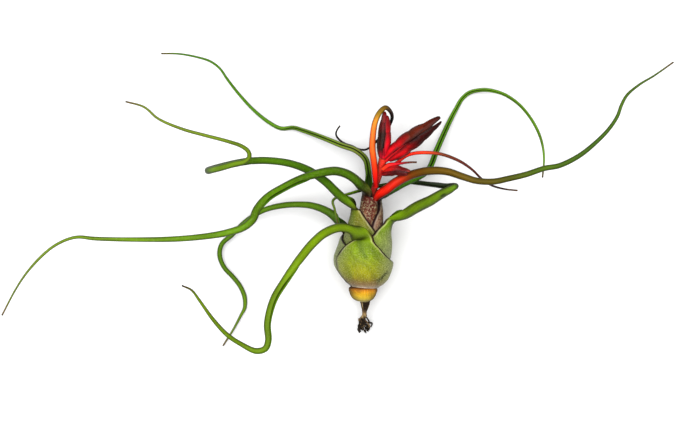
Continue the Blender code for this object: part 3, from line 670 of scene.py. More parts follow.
def bulb_side(points):
    """How far each point lies to the side of the bulb's middle, from 0 to 1 at its widest."""
    away = points - BULB_FOOT
    bell = np.exp(-(((away @ AXIS - BULGE_HEIGHT) / BULGE_SPREAD) ** 2))
    return np.abs(away @ RIGHT + BULGE * bell) / BULB_HALF


def clouds(along, spread, kind, seed):
    """Cloudy variation over a leaf's back. Its kind is a length, a width and a strength."""
    length, width, strength = kind
    return strength * cloudy(along[:, None] / length, ACROSS * spread / width, seed)


def back_levels(outer, along, spread, on_bulb, stops, seed, grey, marks):
    """Levels over a leaf's back before its margins, and how grey with scales each point is."""
    levels = ramp(along, stops)[:, None] * np.ones((1, ACROSS_POINTS, 1))
    change = clouds(along, spread, BROAD_CLOUDS, seed)
    change = change + on_bulb * clouds(along, spread, FINE_CLOUDS, seed + FINE_SEED)
    greyed = soft_step(*GREY_SIDE, bulb_side(outer)) * on_bulb
    levels = toward(levels * (1 + change)[..., None], grey, GREY_SHARE * greyed)
    for line, width, colour, strength in marks:
        on_mark = near_line(outer, line, width) * (outer[..., 2] > MARKS_ABOVE)
        levels = toward(levels, colour, strength * on_mark)
    return levels, greyed


# %% [markdown]
# The thin margin of each sheath is dark purple-brown, and that dark colour also stands in for the shade in
# the gap beside it. The pale line beside it is partly the rim's own colour and partly a painted highlight.
# The inner face of a rolled blade is darker than its back, as painted shade in the channel, with a painted
# highlight on its lips and more painted shade down the groove, and every blade ends in a dry brown tip. The
# dust is how thickly the scales lie: most on the sides of the bulb and none on the margins.

# %% Margins, channel, tip and scales
MARGIN_DARK_AND_SHADE = (40, 18, 20)
MARGIN_PALE_AND_HIGHLIGHT = (206, 200, 172)
TIP_BROWN = (92, 62, 34)
GREEN_GREY = (150, 158, 118)
# The inner face of a blade is darker: painted shade in the channel.
CHANNEL_SHADE = (0.62, 0.72, 0.5)
ON_BULB = (1, -4)
PALE_LINE_AT = 1.05
PALE_LINE_WIDTH = 0.32
PALE_LINE_SHARE = 0.65
DARK_WITHIN = (0.85, 0.55)
INNER_DARK_AND_SHADE = 0.9
LIP_PART = (0.75, 0.95)
LIP_GLOW = 0.5
GROOVE_WIDTH = 0.4
GROOVE_SHADE = 0.4
TIP_FROM = 7
TIP_FULL = 0.5
TIP_SHARE = 0.8
DUST_LEAST = 0.1
DUST_IN_MIDDLE = 0.45
INNER_APART = 30
LEAST_SPREAD = 2


def leaf_levels(grid, along, rows, stops, seed, grey=GREEN_GREY, marks=(), neck=0.0,
                channel=CHANNEL_SHADE, margin_reach=1.0):
    """Levels and dust over a leaf's grid: back from margin to margin, then the inner face back."""
    spread = rows[:, 4:5]
    on_sheath = soft_step(margin_reach + 3, margin_reach - 1, along)[:, None]
    on_bulb = soft_step(*ON_BULB, along)[:, None] * np.ones((1, ACROSS_POINTS))
    levels, greyed = back_levels(grid[:, :ACROSS_POINTS], along, spread, on_bulb, stops, seed, grey, marks)
    # Dark margins are their own colour and painted shade of the gap; the pale line is partly a painted
    # highlight.
    from_margin = (1 - np.abs(ACROSS)) * spread
    pale = np.exp(-(((from_margin - PALE_LINE_AT) / PALE_LINE_WIDTH) ** 2)) * on_sheath
    dark = soft_step(*DARK_WITHIN, from_margin) * on_sheath
    back = toward(toward(levels, MARGIN_PALE_AND_HIGHLIGHT, PALE_LINE_SHARE * pale), MARGIN_DARK_AND_SHADE, dark)
    # Painted highlight on the lips, and painted shade down the groove and over the channel's inner face.
    lip = LIP_GLOW * soft_step(*LIP_PART, np.abs(ACROSS)) * (1 - on_sheath)
    groove = GROOVE_SHADE * np.exp(-((ACROSS / GROOVE_WIDTH) ** 2)) * (1 - on_sheath)
    inner = toward(levels * np.array(channel), MARGIN_DARK_AND_SHADE, INNER_DARK_AND_SHADE * dark)
    both = np.concatenate((back, (inner * (1 + lip - groove)[..., None])[:, ::-1]), 1)
    tip = soft_step(along[-1] - TIP_FROM, along[-1] - TIP_FULL, along)[:, None]
    both = toward(both, TIP_BROWN, TIP_SHARE * tip * np.ones((1, 2 * ACROSS_POINTS)))
    scales = DUST_IN_MIDDLE + (1 - DUST_IN_MIDDLE) * greyed
    dust = np.maximum(DUST_LEAST + (1 - DUST_LEAST) * on_bulb * scales, neck * on_bulb)
    dust = dust * (1 - np.clip(pale + dark, 0, 1))
    return np.concatenate((both, np.hstack((dust, dust[:, ::-1]))[..., None]), -1)


def leaf_flat(along, rows):
    """Flat coordinates in millimetres: along the leaf, and across it round the ring."""
    across = ACROSS * np.clip(rows[:, 4:5], LEAST_SPREAD, None)
    both = np.hstack((across, INNER_APART - across[:, ::-1]))
    return np.stack((along[:, None] * np.ones((1, 2 * ACROSS_POINTS)), both), -1)


# %% [markdown]
# The sheath lists below give height on the bulb's axis, radius, and the directions of both margins, and
# the routes give x, y, z and width, in millimetres. They are the points that the measured solids are
# built on, though three sheaths curl more tightly here, so each finished leaf lies where its solid does.
# The leaves follow one by one, outermost first.

# %% One finished leaf
def finish_leaf(name, slot, finish, grid, levels, flat):
    """A leaf's or a bract's grid as a finished piece in its solid's place."""
    points, faces = shell(grid, folded=True)
    make_piece(name + "_finished", points, faces, levels.reshape(-1, 4), flat.reshape(-1, 2), finish,
               slot, [name])


def make_leaf(name, slot, sheath, route, faced, shift=(0.0, 0.0), finish=SHEATH_FINISH, **looks):
    """One leaf, from its sheath in the bulb to its blade's tip. The looks are those of leaf_levels."""
    grid, along, rows = leaf_grid(sheath, shift, route, faced)
    finish_leaf(name, slot, finish, grid, leaf_levels(grid, along, rows, **looks), leaf_flat(along, rows))


# %% [markdown]
# The front leaf is the outermost one. Its sheath wraps the front of the bulb and tapers to the left, and
# its blade rises toward the camera and curls down and left. The stops only change the colour along a leaf,
# so the painted shade of a crease, the smudge and the greener patches on the bulb are marks, painted along
# short lines.

# %% The front leaf
make_leaf(
    "leaf_front", "yellow_green_leaf", faced=[(12, 10), (30, 70), (46, 140), (75, 120)], seed=3,
    sheath=[(5.2, 5.7, -52, 102), (6.6, 7.7, -54, 102), (8.6, 9.6, -55, 100), (11.2, 11.0, -57, 97),
            (14.4, 11.6, -58, 90), (15.8, 11.6, -57, 70), (17.2, 11.5, -55, 53), (19.2, 11.3, -50, 36),
            (21.3, 10.9, -41, 23), (23.0, 10.5, -30, 13)],
    route=[(-1.6, 11.2, 24.4, 3.3), (-4.2, 13.1, 27.0, 3.2), (-8.5, 14.0, 30.0, 3.2),
           (-13.9, 12.1, 33.0, 3.2), (-18.4, 8.2, 36.0, 3.2), (-22.6, 3.0, 39.0, 3.2),
           (-27.9, -4.7, 40.5, 3.0), (-31.9, -11.5, 42.0, 2.8), (-33.9, -19.5, 43.0, 2.6),
           (-33.6, -25.5, 43.0, 2.4), (-34.7, -28.3, 43.0, 2.3), (-37.9, -29.1, 43.0, 2.2),
           (-43.1, -26.6, 44.0, 1.7), (-47.7, -23.3, 46.0, 1.6), (-52.3, -17.9, 49.0, 1.4),
           (-57.1, -10.5, 53.0, 1.0), (-59.3, -7.3, 55.0, 0.8), (-62.3, -5.6, 58.0, 0.6)],
    stops=[(-21, (214, 190, 170)), (-19.6, (190, 150, 110)), (-18, (138, 112, 40)), (-15, (134, 130, 14)),
           (-11, (128, 136, 10)), (-4, (112, 136, 8)), (2, (112, 142, 4)), (30, (110, 142, 0)),
           (60, (84, 112, 4)), (100, (94, 120, 8)), (140, (110, 120, 30))],
    # The first mark is painted shade along a crease.
    marks=[([(-1.8, 9.4), (-0.6, 6.0), (0.6, 3.6)], 0.8, (72, 98, 0), 0.7),
           ([(-0.8, 8.6), (2.6, 6.4), (5.4, 3.8)], 1.6, (84, 108, 4), 0.4),
           ([(8.8, -2.6), (7.6, -3.4), (6.6, -4.8), (4.8, -6.0)], 0.5, (44, 44, 0), 1.0),
           ([(-6.0, -5.6), (-1.0, -6.6), (4.6, -6.2)], 0.8, (150, 112, 70), 0.7),
           ([(-1.5, -2.0), (1.5, -3.5)], 1.8, (176, 168, 20), 0.5),
           ([(-5.5, -1.0), (-5.0, -4.5)], 1.2, (104, 116, 30), 0.5)])

# %% [markdown]
# This leaf clasps the bulb's left side. Its blade lies close to the surface, bends back in a hook and kinks
# near its thin end, so the route has points close together there.

# %% The low left leaf
make_leaf(
    "leaf_left_low", "green_leaf", faced=[(18, 20), (60, 20)], seed=5,
    sheath=[(5.8, 5.0, -215, -20), (7.2, 6.9, -216, -19), (9.3, 8.85, -217, -18),
            (12.2, 10.3, -217.5, -17.5), (15.2, 10.75, -217.5, -17.5), (18.2, 10.55, -205, -22),
            (20.4, 10.3, -176, -46), (22.6, 10.0, -150, -72), (24.6, 9.3, -132, -88)],
    route=[(-9.2, 16.0, 10.2, 3.2), (-12.2, 19.2, 10.6, 3.0), (-17.8, 21.7, 9.5, 2.6),
           (-23.4, 22.4, 8.0, 2.3), (-30.9, 21.9, 6.2, 2.2), (-37.7, 20.0, 5.0, 2.0),
           (-44.0, 15.9, 4.2, 1.9), (-49.0, 11.0, 3.5, 1.8), (-52.8, 7.6, 2.8, 1.8), (-53.7, 3.5, 2.2, 1.8),
           (-52.1, -1.0, 1.8, 1.7), (-48.7, -4.8, 1.4, 1.7), (-46.1, -8.2, 1.0, 1.7),
           (-44.4, -12.4, 0.7, 1.7), (-44.4, -16.5, 0.9, 1.4), (-45.7, -19.1, 1.2, 1.1),
           (-48.7, -24.7, 1.5, 0.8), (-51.3, -28.8, 1.5, 0.7), (-52.5, -30.7, 1.5, 0.6)],
    stops=[(-24, (180, 130, 70)), (-18, (160, 130, 80)), (-14, (140, 150, 92)), (-4, (118, 138, 50)),
           (2, (58, 92, 4)), (20, (76, 112, 4)), (60, (66, 102, 0)), (85, (84, 116, 10)),
           (100, (92, 108, 40))],
    marks=[([(8.0, -5.0), (5.5, -10.0)], 1.6, (170, 110, 50), 0.7)])

# %% [markdown]
# The broadest blade rises to the right, folds sharply over and comes back under the neck. The fold is made
# by a few route points close together at its top. Darker stops past it are painted shade on the underside,
# nearly black where the blade passes under the neck, and the two marks are small spots of painted shade at
# the crease. A fifth value in a sheath section curls it more tightly.

# %% The folded right leaf
make_leaf(
    "leaf_right_fold", "yellow_green_leaf", shift=(0.8, 80.0), faced=[(24, 15)], seed=8,
    sheath=[(7.0, 4.5, -15, 175), (8.6, 6.5, -18, 178), (10.8, 8.3, -20, 180), (14.0, 9.2, -20, 180),
            (18.8, 9.15, -16, 176), (22.4, 8.5, -8, 166), (25.5, 7.8, 10, 150, 7.0),
            (27.6, 7.8, 28, 136, 5.2), (29.2, 8.1, 42, 114, 3.6)],
    route=[(12.2, 16.6, 14.6, 4.6), (14.0, 17.9, 16.8, 4.4), (16.4, 19.6, 19.5, 4.2),
           (19.6, 21.5, 23.5, 4.1), (23.8, 23.6, 28.5, 3.8), (27.8, 26.1, 33.0, 3.3),
           (30.3, 27.4, 36.2, 2.8), (31.7, 28.2, 37.6, 2.2), (32.5, 28.7, 36.0, 2.1),
           (31.6, 28.9, 33.0, 2.1), (29.7, 28.8, 29.0, 2.1), (26.5, 29.4, 21.5, 2.0),
           (23.6, 29.9, 14.5, 1.8), (21.0, 30.4, 8.8, 1.8), (17.5, 30.8, 6.6, 1.7), (13.1, 30.5, 5.2, 1.6),
           (7.6, 29.6, 4.2, 1.5), (2.7, 28.6, 4.0, 1.3), (-1.8, 27.4, 4.6, 1.2), (-4.8, 26.5, 5.8, 1.1),
           (-7.8, 25.6, 7.5, 1.0), (-10.6, 24.5, 9.0, 1.0), (-11.2, 23.3, 10.7, 1.0),
           (-10.6, 21.1, 13.5, 0.9), (-10.0, 18.5, 17.0, 0.8), (-9.5, 16.3, 20.0, 0.7),
           (-9.3, 14.5, 22.0, 0.6)],
    # From 37 mm on the darker stops are painted shade.
    stops=[(-26, (160, 158, 110)), (-14, (142, 154, 92)), (-5, (128, 150, 50)), (0, (102, 138, 4)),
           (14, (116, 152, 1)), (26, (104, 140, 4)), (33, (100, 134, 12)), (37, (36, 72, 4)),
           (62, (34, 70, 4)), (80, (46, 80, 6)), (88, (16, 26, 6)), (92, (96, 134, 6)),
           (110, (132, 166, 8))],
    # Both marks are painted shade at the crease.
    marks=[([(27.6, 25.2), (28.4, 25.7)], 0.4, (30, 50, 0), 0.9),
           ([(32.8, 28.0), (33.4, 28.3)], 0.35, (30, 50, 0), 0.8)])

# %% [markdown]
# This leaf rises, turns back over itself and points left, high above the surface. It twists as it goes, so
# the faced list turns its channel toward the camera in the loop and away again after it.

# %% The looping left leaf
make_leaf(
    "leaf_left_loop", "green_leaf", shift=(1.3, -95.0), faced=[(22, -10), (44, 60), (56, 150), (84, 0)],
    seed=11,
    sheath=[(8.8, 4.8, -150, 50), (10.8, 6.5, -150, 50), (14.0, 7.9, -150, 50), (18.5, 8.1, -150, 48),
            (22.4, 7.9, -148, 44), (26.2, 6.9, -140, 36), (28.6, 6.5, -130, 16, 6.0),
            (30.6, 6.2, -122, -2, 4.8), (32.3, 6.1, -116, -18, 3.6), (33.6, 6.1, -110, -30, 2.9)],
    route=[(-5.4, 22.2, 17.0, 3.7), (-7.0, 23.9, 18.7, 3.5), (-8.7, 25.7, 20.2, 3.3),
           (-10.7, 27.6, 21.7, 3.2), (-13.1, 30.0, 23.3, 3.1), (-19.3, 34.3, 27.0, 2.9),
           (-26.4, 36.9, 31.0, 2.7), (-34.1, 37.8, 35.0, 2.6), (-40.2, 37.5, 39.0, 2.6),
           (-45.3, 36.5, 43.0, 2.6), (-49.5, 35.3, 47.0, 2.6), (-52.7, 34.2, 51.0, 2.7),
           (-53.6, 33.7, 55.0, 2.6), (-52.0, 33.8, 59.0, 2.3), (-48.4, 34.5, 62.0, 2.1),
           (-43.9, 35.7, 63.5, 2.0), (-40.5, 36.5, 64.5, 1.7), (-39.0, 38.0, 65.0, 1.6),
           (-39.3, 39.8, 65.5, 1.5), (-41.4, 41.5, 66.0, 1.4), (-46.0, 43.1, 67.0, 1.3),
           (-53.3, 45.0, 68.0, 1.2), (-61.3, 47.2, 69.0, 1.1), (-69.0, 50.5, 71.0, 0.9),
           (-73.4, 54.2, 73.0, 0.8), (-79.3, 55.9, 75.0, 0.6)],
    stops=[(-26, (140, 132, 70)), (-10, (118, 132, 50)), (-4, (126, 124, 30)), (1, (108, 120, 14)),
           (6, (76, 112, 0)), (20, (60, 104, 0)), (60, (82, 124, 0)), (68, (108, 148, 40)),
           (74, (116, 150, 60)), (80, (96, 130, 14)), (90, (88, 112, 10)), (130, (104, 120, 34))],
    marks=[([(-0.6, 20.5), (1.6, 17.4), (4.2, 14.6)], 1.1, (158, 112, 44), 0.6),
           ([(-3.6, 19.5), (-4.6, 15.0)], 1.0, (92, 118, 6), 0.6)])

# %% [markdown]
# A mottled wine-red sheath wraps the right of the neck, so this leaf has the neck finish with its larger
# specks. The blade dips to the surface, where it is pressed flat, hooks over and points back down.

# %% The back right leaf
make_leaf(
    "leaf_back_right", "dark_green_leaf", faced=[(12, 60), (24, 180), (50, 180)], seed=14,
    finish=NECK_FINISH, neck=0.9, grey=(168, 160, 128),
    sheath=[(9.8, 3.7, 20, 225), (11.6, 4.75, 18, 228), (14.0, 5.9, 15, 230), (18.5, 6.1, 10, 230),
            (22.2, 5.8, 5, 230), (25.9, 5.3, 5, 228), (29.3, 5.15, 12, 222), (31.8, 5.0, 24, 214),
            (34.2, 4.7, 42, 205), (36.3, 4.45, 62, 195, 3.6), (38.0, 4.35, 76, 180, 2.6)],
    route=[(8.5, 25.8, 10.3, 2.5), (11.3, 27.6, 10.8, 2.4), (14.4, 29.6, 11.2, 2.3),
           (18.1, 31.4, 11.2, 2.3), (21.5, 33.0, 9.8, 2.2), (23.8, 34.7, 8.0, 2.2), (25.4, 37.1, 7.0, 2.2),
           (27.3, 42.0, 5.5, 2.2), (30.0, 48.1, 4.0, 2.1), (32.8, 54.0, 2.5, 1.9), (35.1, 58.3, 1.4, 1.7),
           (37.4, 62.2, 0.7, 1.6), (40.0, 64.4, 1.1, 1.6), (43.3, 65.3, 2.0, 1.5), (47.3, 65.2, 4.0, 1.5),
           (52.6, 63.4, 7.0, 1.3), (57.7, 59.4, 11.0, 1.2), (61.7, 53.8, 15.0, 1.1),
           (64.2, 48.1, 18.5, 1.1), (65.2, 42.8, 22.0, 0.9), (65.3, 38.4, 24.0, 0.8),
           (64.5, 32.0, 26.0, 0.6)],
    stops=[(-30, (150, 140, 90)), (-16, (156, 136, 104)), (-8, (140, 96, 78)), (-2, (96, 72, 44)),
           (3, (40, 80, 4)), (20, (72, 128, 10)), (60, (104, 160, 24)), (110, (96, 136, 30))],
    marks=[([(4.4, 21.5), (4.0, 17.5), (2.8, 14.0)], 1.0, (84, 12, 20), 0.85),
           ([(6.2, 22.5), (6.0, 17.5)], 0.7, (150, 100, 84), 0.5)])

# %% [markdown]
# The longest blade to the left starts in a tan and maroon sheath round the neck. A wine-red mark and a thin
# pale one run down that sheath side by side, and at the sheath's tip the stops go from maroon to green in
# a few millimetres.

# %% The long left leaf
make_leaf(
    "leaf_left_long", "green_leaf", shift=(0.5, -80.0),
    faced=[(14, 10), (26, 60), (36, 130), (48, 130), (60, 60)], seed=17, finish=NECK_FINISH, neck=1.0,
    grey=(160, 138, 106),
    sheath=[(10.8, 3.5, -130, 60), (14.0, 4.8, -132, 60), (18.5, 4.9, -135, 62), (22.2, 4.7, -135, 62),
            (25.9, 4.25, -130, 66), (29.0, 4.0, -122, 70), (31.6, 3.75, -118, 76), (34.0, 3.55, -112, 80),
            (36.0, 3.4, -104, 76), (37.4, 3.35, -94, 54), (38.6, 3.3, -86, 12)],
    route=[(0.9, 26.6, 17.4, 3.5), (-0.6, 28.6, 19.7, 3.5), (-2.0, 30.5, 22.0, 3.4),
           (-5.6, 33.1, 25.0, 3.3), (-10.3, 34.3, 28.0, 3.2), (-16.4, 33.3, 31.0, 3.1),
           (-22.7, 31.1, 34.0, 3.1), (-29.0, 27.9, 37.0, 3.0), (-34.2, 24.5, 40.0, 3.0),
           (-37.6, 20.4, 42.0, 3.0), (-39.1, 16.9, 43.5, 2.9), (-42.1, 14.3, 44.0, 2.7),
           (-47.6, 12.4, 44.0, 2.5), (-55.7, 11.0, 44.0, 2.2), (-66.2, 10.1, 44.0, 2.0),
           (-76.6, 9.9, 44.0, 1.7), (-87.0, 10.0, 44.5, 1.5), (-94.6, 10.3, 45.0, 1.4),
           (-99.8, 10.8, 45.5, 1.2), (-103.9, 9.8, 46.0, 1.1), (-108.6, 7.2, 47.0, 1.0),
           (-113.3, 2.9, 48.0, 1.0), (-117.4, -2.3, 50.0, 0.8), (-120.5, -7.5, 51.5, 0.7),
           (-124.5, -16.0, 54.0, 0.6)],
    stops=[(-28, (150, 128, 92)), (-12, (158, 128, 92)), (-6, (128, 76, 52)), (-2, (72, 18, 14)),
           (1, (56, 22, 12)), (4, (76, 84, 20)), (8, (64, 102, 0)), (40, (76, 116, 0)), (90, (88, 124, 8)),
           (150, (98, 116, 34)), (175, (108, 112, 56))],
    marks=[([(1.8, 24.0), (2.6, 20.0), (2.2, 15.0)], 1.3, (84, 10, 12), 0.95),
           ([(-1.2, 22.0), (0.2, 18.0), (1.6, 14.5)], 0.5, (190, 170, 140), 0.5)])

# %% [markdown]
# This leaf comes from behind the neck, where its sheath is hardly seen, so it has the plain blade finish.
# Its channel faces the camera, and the blade touches the surface on its way out.

# %% The back left leaf
make_leaf(
    "leaf_back_left", "dark_green_leaf", faced=[(6, 180), (40, 180), (60, 120)], seed=20,
    finish=BLADE_FINISH,
    sheath=[(24.0, 3.0, -205, -95), (28.0, 3.0, -205, -95), (32.0, 2.85, -202, -98),
            (35.5, 2.7, -196, -104), (38.0, 2.6, -188, -112)],
    route=[(1.9, 28.2, 10.4, 2.4), (2.1, 31.4, 10.9, 2.3), (1.9, 35.1, 11.2, 2.3), (0.9, 39.2, 10.5, 2.3),
           (-2.6, 42.4, 9.5, 2.2), (-8.1, 44.5, 7.5, 2.1), (-15.2, 47.5, 5.0, 1.9), (-22.4, 50.2, 2.6, 1.7),
           (-26.0, 51.3, 1.5, 1.6), (-30.7, 51.1, 0.6, 1.5), (-35.0, 53.2, 1.2, 1.4),
           (-40.8, 57.8, 2.2, 1.2), (-46.7, 64.2, 4.0, 1.1), (-50.7, 69.4, 6.0, 1.0),
           (-53.2, 73.0, 7.0, 0.9), (-56.7, 75.6, 8.0, 0.9), (-62.0, 77.2, 9.0, 0.8),
           (-68.3, 78.2, 10.0, 0.7), (-74.7, 78.2, 11.0, 0.6)],
    stops=[(-14, (80, 80, 30)), (0, (74, 104, 16)), (8, (64, 104, 8)), (18, (128, 140, 54)),
           (34, (110, 142, 40)), (60, (74, 122, 12)), (110, (66, 108, 18))])

# %% [markdown]
# This blade is bright red at its base, like the bracts, and goes through brown and olive to green. That is
# only a longer list of stops. Its short sheath stays red where the others are grey with scales.

# %% The long right leaf
make_leaf(
    "leaf_right_long", "red_leaf", faced=[(14, 0), (60, 0)], seed=23, finish=BLADE_FINISH,
    grey=(190, 20, 20),
    sheath=[(25.0, 2.7, -15, 98), (28.5, 2.6, -15, 98), (31.5, 2.5, -14, 95), (34.0, 2.4, -10, 92),
            (36.0, 2.35, 0, 86)],
    route=[(5.3, 24.2, 15.7, 3.0), (6.6, 25.9, 17.0, 3.4), (8.6, 27.8, 18.0, 3.5), (11.6, 30.2, 18.9, 3.6),
           (15.2, 32.2, 20.0, 3.4), (19.8, 33.8, 22.5, 3.1), (24.7, 34.5, 25.5, 3.0),
           (29.9, 34.1, 28.0, 2.8), (35.2, 32.3, 30.0, 2.6), (40.4, 30.7, 31.0, 2.4),
           (46.1, 30.4, 32.0, 2.3), (51.7, 31.5, 33.0, 2.2), (57.6, 32.9, 34.0, 2.1),
           (63.9, 35.0, 35.0, 2.0), (69.2, 36.0, 36.0, 1.9), (75.7, 39.2, 37.0, 1.8),
           (80.8, 43.2, 38.0, 1.6), (86.1, 48.6, 39.0, 1.4), (89.1, 53.3, 40.0, 1.3),
           (90.4, 57.1, 40.5, 1.2), (92.3, 60.6, 41.0, 1.1), (96.3, 64.1, 42.0, 0.9),
           (101.5, 67.3, 43.0, 0.7), (108.0, 71.9, 44.0, 0.6)],
    stops=[(-12, (120, 10, 10)), (0, (170, 4, 4)), (5, (206, 18, 6)), (12, (200, 30, 10)),
           (16, (176, 44, 12)), (19.5, (116, 58, 8)), (26, (102, 72, 8)), (36, (94, 70, 8)),
           (50, (80, 70, 8)), (66, (62, 84, 8)), (90, (56, 88, 12)), (120, (70, 94, 24)),
           (140, (74, 76, 30))])

# %% [markdown]
# The bracts under each flower spike are small leaves without a sheath. They use the same sections, with
# the back facing away from the spike they belong to. They have no dark margins, so the reach of those ends
# far before a bract starts.

# %% One bract
BRACT_SPACING = 0.5
BRACT_RIB_HEIGHT = 0.02
BRACT_RIB_PITCH = 30
# A bract's inner face is darker: painted shade in its channel.
BRACT_CHANNEL_SHADE = (0.6, 0.5, 0.5)
PAST_SHEATH = 2
NO_MARGIN = -10.0


def make_bract(name, back, seed, route, stops):
    """One bract as a finished piece in its solid's place. Its back first faces the way given."""
    rows, _ = smooth_path(blade_rows(route, (0, 0, 0)), BRACT_SPACING)
    tangents, normals = carried_normals(rows[:, :3], np.array(back))
    along = distance_along(rows[:, :3])
    relief = BRACT_RIB_HEIGHT * np.cos(ACROSS * BRACT_RIB_PITCH) * np.ones((len(rows), 1))
    grid = section_grid(rows, normals, np.cross(tangents, normals), relief)
    levels = leaf_levels(grid, along + PAST_SHEATH, rows, stops, seed, channel=BRACT_CHANNEL_SHADE,
                         margin_reach=NO_MARGIN)
    finish_leaf(name, "red_bract", BRACT_FINISH, grid, levels, leaf_flat(along, rows))


# %% [markdown]
# The tall bract hooks over at its top and goes from red through orange to a black end behind its spike.
# The arching one is long and thin and goes off to the right, and the short needle lies between them.

# %% The three bracts
make_bract(
    "bract_hooked", back=(-1.0, 0.0, 0.4), seed=31,
    route=[(4.6, 29.0, 17.7, 1.9), (4.4, 32.0, 19.8, 2.2), (3.8, 37.7, 22.0, 2.4), (3.2, 42.5, 23.5, 2.4),
           (3.4, 47.4, 24.5, 2.3), (4.2, 52.1, 25.0, 2.1), (5.8, 55.5, 25.0, 2.0), (7.8, 57.3, 24.4, 1.8),
           (9.8, 56.1, 21.5, 1.5), (10.5, 54.1, 19.0, 1.3), (9.8, 51.8, 17.0, 1.1), (8.4, 49.3, 15.3, 1.0),
           (5.9, 46.7, 12.8, 0.9), (3.3, 44.1, 9.6, 0.8), (0.8, 42.8, 7.1, 0.8), (-1.8, 43.2, 5.8, 0.7),
           (-4.0, 44.3, 5.4, 0.7), (-6.6, 45.2, 4.8, 0.7), (-8.7, 46.6, 4.4, 0.7), (-9.9, 48.2, 6.5, 0.7),
           (-9.7, 49.8, 10.0, 0.6), (-8.6, 51.3, 13.0, 0.6)],
    stops=[(0, (200, 10, 10)), (6, (236, 14, 10)), (12, (246, 66, 22)), (16, (250, 96, 32)),
           (23, (244, 112, 38)), (27, (200, 124, 34)), (30, (142, 110, 22)), (34, (112, 78, 20)),
           (37, (56, 20, 14)), (41, (22, 12, 12)), (70, (30, 12, 16))])
make_bract(
    "bract_arching", back=(0.3, -1.0, 0.3), seed=37,
    route=[(9.8, 36.0, 18.9, 1.3), (12.8, 38.0, 19.4, 1.3), (15.5, 40.0, 20.5, 1.3),
           (18.4, 40.9, 21.5, 1.3), (23.5, 41.1, 23.0, 1.3), (28.5, 40.4, 24.3, 1.2),
           (34.9, 37.8, 25.6, 1.1), (39.4, 34.6, 26.3, 0.9), (42.2, 31.8, 26.6, 0.8),
           (45.8, 29.3, 26.8, 0.8), (50.4, 27.9, 27.0, 0.7), (55.4, 27.3, 27.3, 0.6)],
    stops=[(0, (226, 14, 12)), (8, (236, 30, 14)), (16, (244, 52, 20)), (19, (200, 60, 24)),
           (23, (120, 52, 24)), (32, (84, 30, 22)), (46, (44, 22, 20))])
make_bract(
    "bract_needle", back=(0.0, 0.7, 0.7), seed=41,
    route=[(7.0, 35.1, 21.5, 1.6), (9.2, 36.6, 22.3, 1.7), (12.0, 37.0, 22.8, 1.2), (15.1, 37.4, 23.2, 0.8),
           (17.2, 37.6, 23.4, 0.7), (19.3, 37.6, 23.6, 0.6)],
    stops=[(0, (220, 60, 26)), (3, (226, 50, 22)), (7, (220, 14, 30)), (11, (150, 10, 30)),
           (14, (70, 14, 20))])

# %% [markdown]
# A flower spike is a thin stalk with two ranks of boat-shaped bracts that overlap like roof tiles. Each
# boat clasps the stalk at its foot, swells, and closes to a point. One formula makes them all, from a
# foot, a length, a reach and a side, so a spike is only a short list of those.

# %% The shape of one floral bract
BOAT_POINTS = 17
BOAT_RINGS = 26
BOAT_ACROSS = np.linspace(-1, 1, BOAT_POINTS)[None, :]
BOAT_SHARE = np.linspace(0, 1, BOAT_RINGS)[:, None]
SWELL_AT_FOOT = 0.08
SWELL_RUN = 0.82
SWELL_POWER = 0.7
POINT_NARROWED = 0.6
FOOT_REACH = 0.5
ROUNDNESS = 0.82
LEAST_RADIUS = 0.22
HALF_ANGLE_AT_FOOT = 95
HALF_ANGLE_FALL = 20
KEEL_HEIGHT = 0.16
KEEL_WIDTH = 0.12
BOAT_RIB_HEIGHT = 0.035
BOAT_RIB_PITCH = 26
BOAT_WALL = 0.45
BOAT_WALL_SHARE = 0.6
BOAT_THINNING = 0.5
LEAST_INNER = 0.25


def stalk_at(stalk, along, places):
    """Centres, and tangents taken over 1 mm each way, at places along a stalk or straight on past it."""
    on_stalk = np.minimum(places, along[-1])
    centres = np.stack([np.interp(on_stalk, along, stalk[:, k]) for k in range(3)], 1)
    tangents = unit(np.stack([np.interp(on_stalk + 1, along, stalk[:, k])
                              - np.interp(on_stalk - 1, along, stalk[:, k]) for k in range(3)], 1))
    end = unit(stalk[-1, :3] - stalk[-2, :3])
    past = np.maximum(places - along[-1], 0)[:, None]
    return centres + past * end, np.where(past > 0, end, tangents)


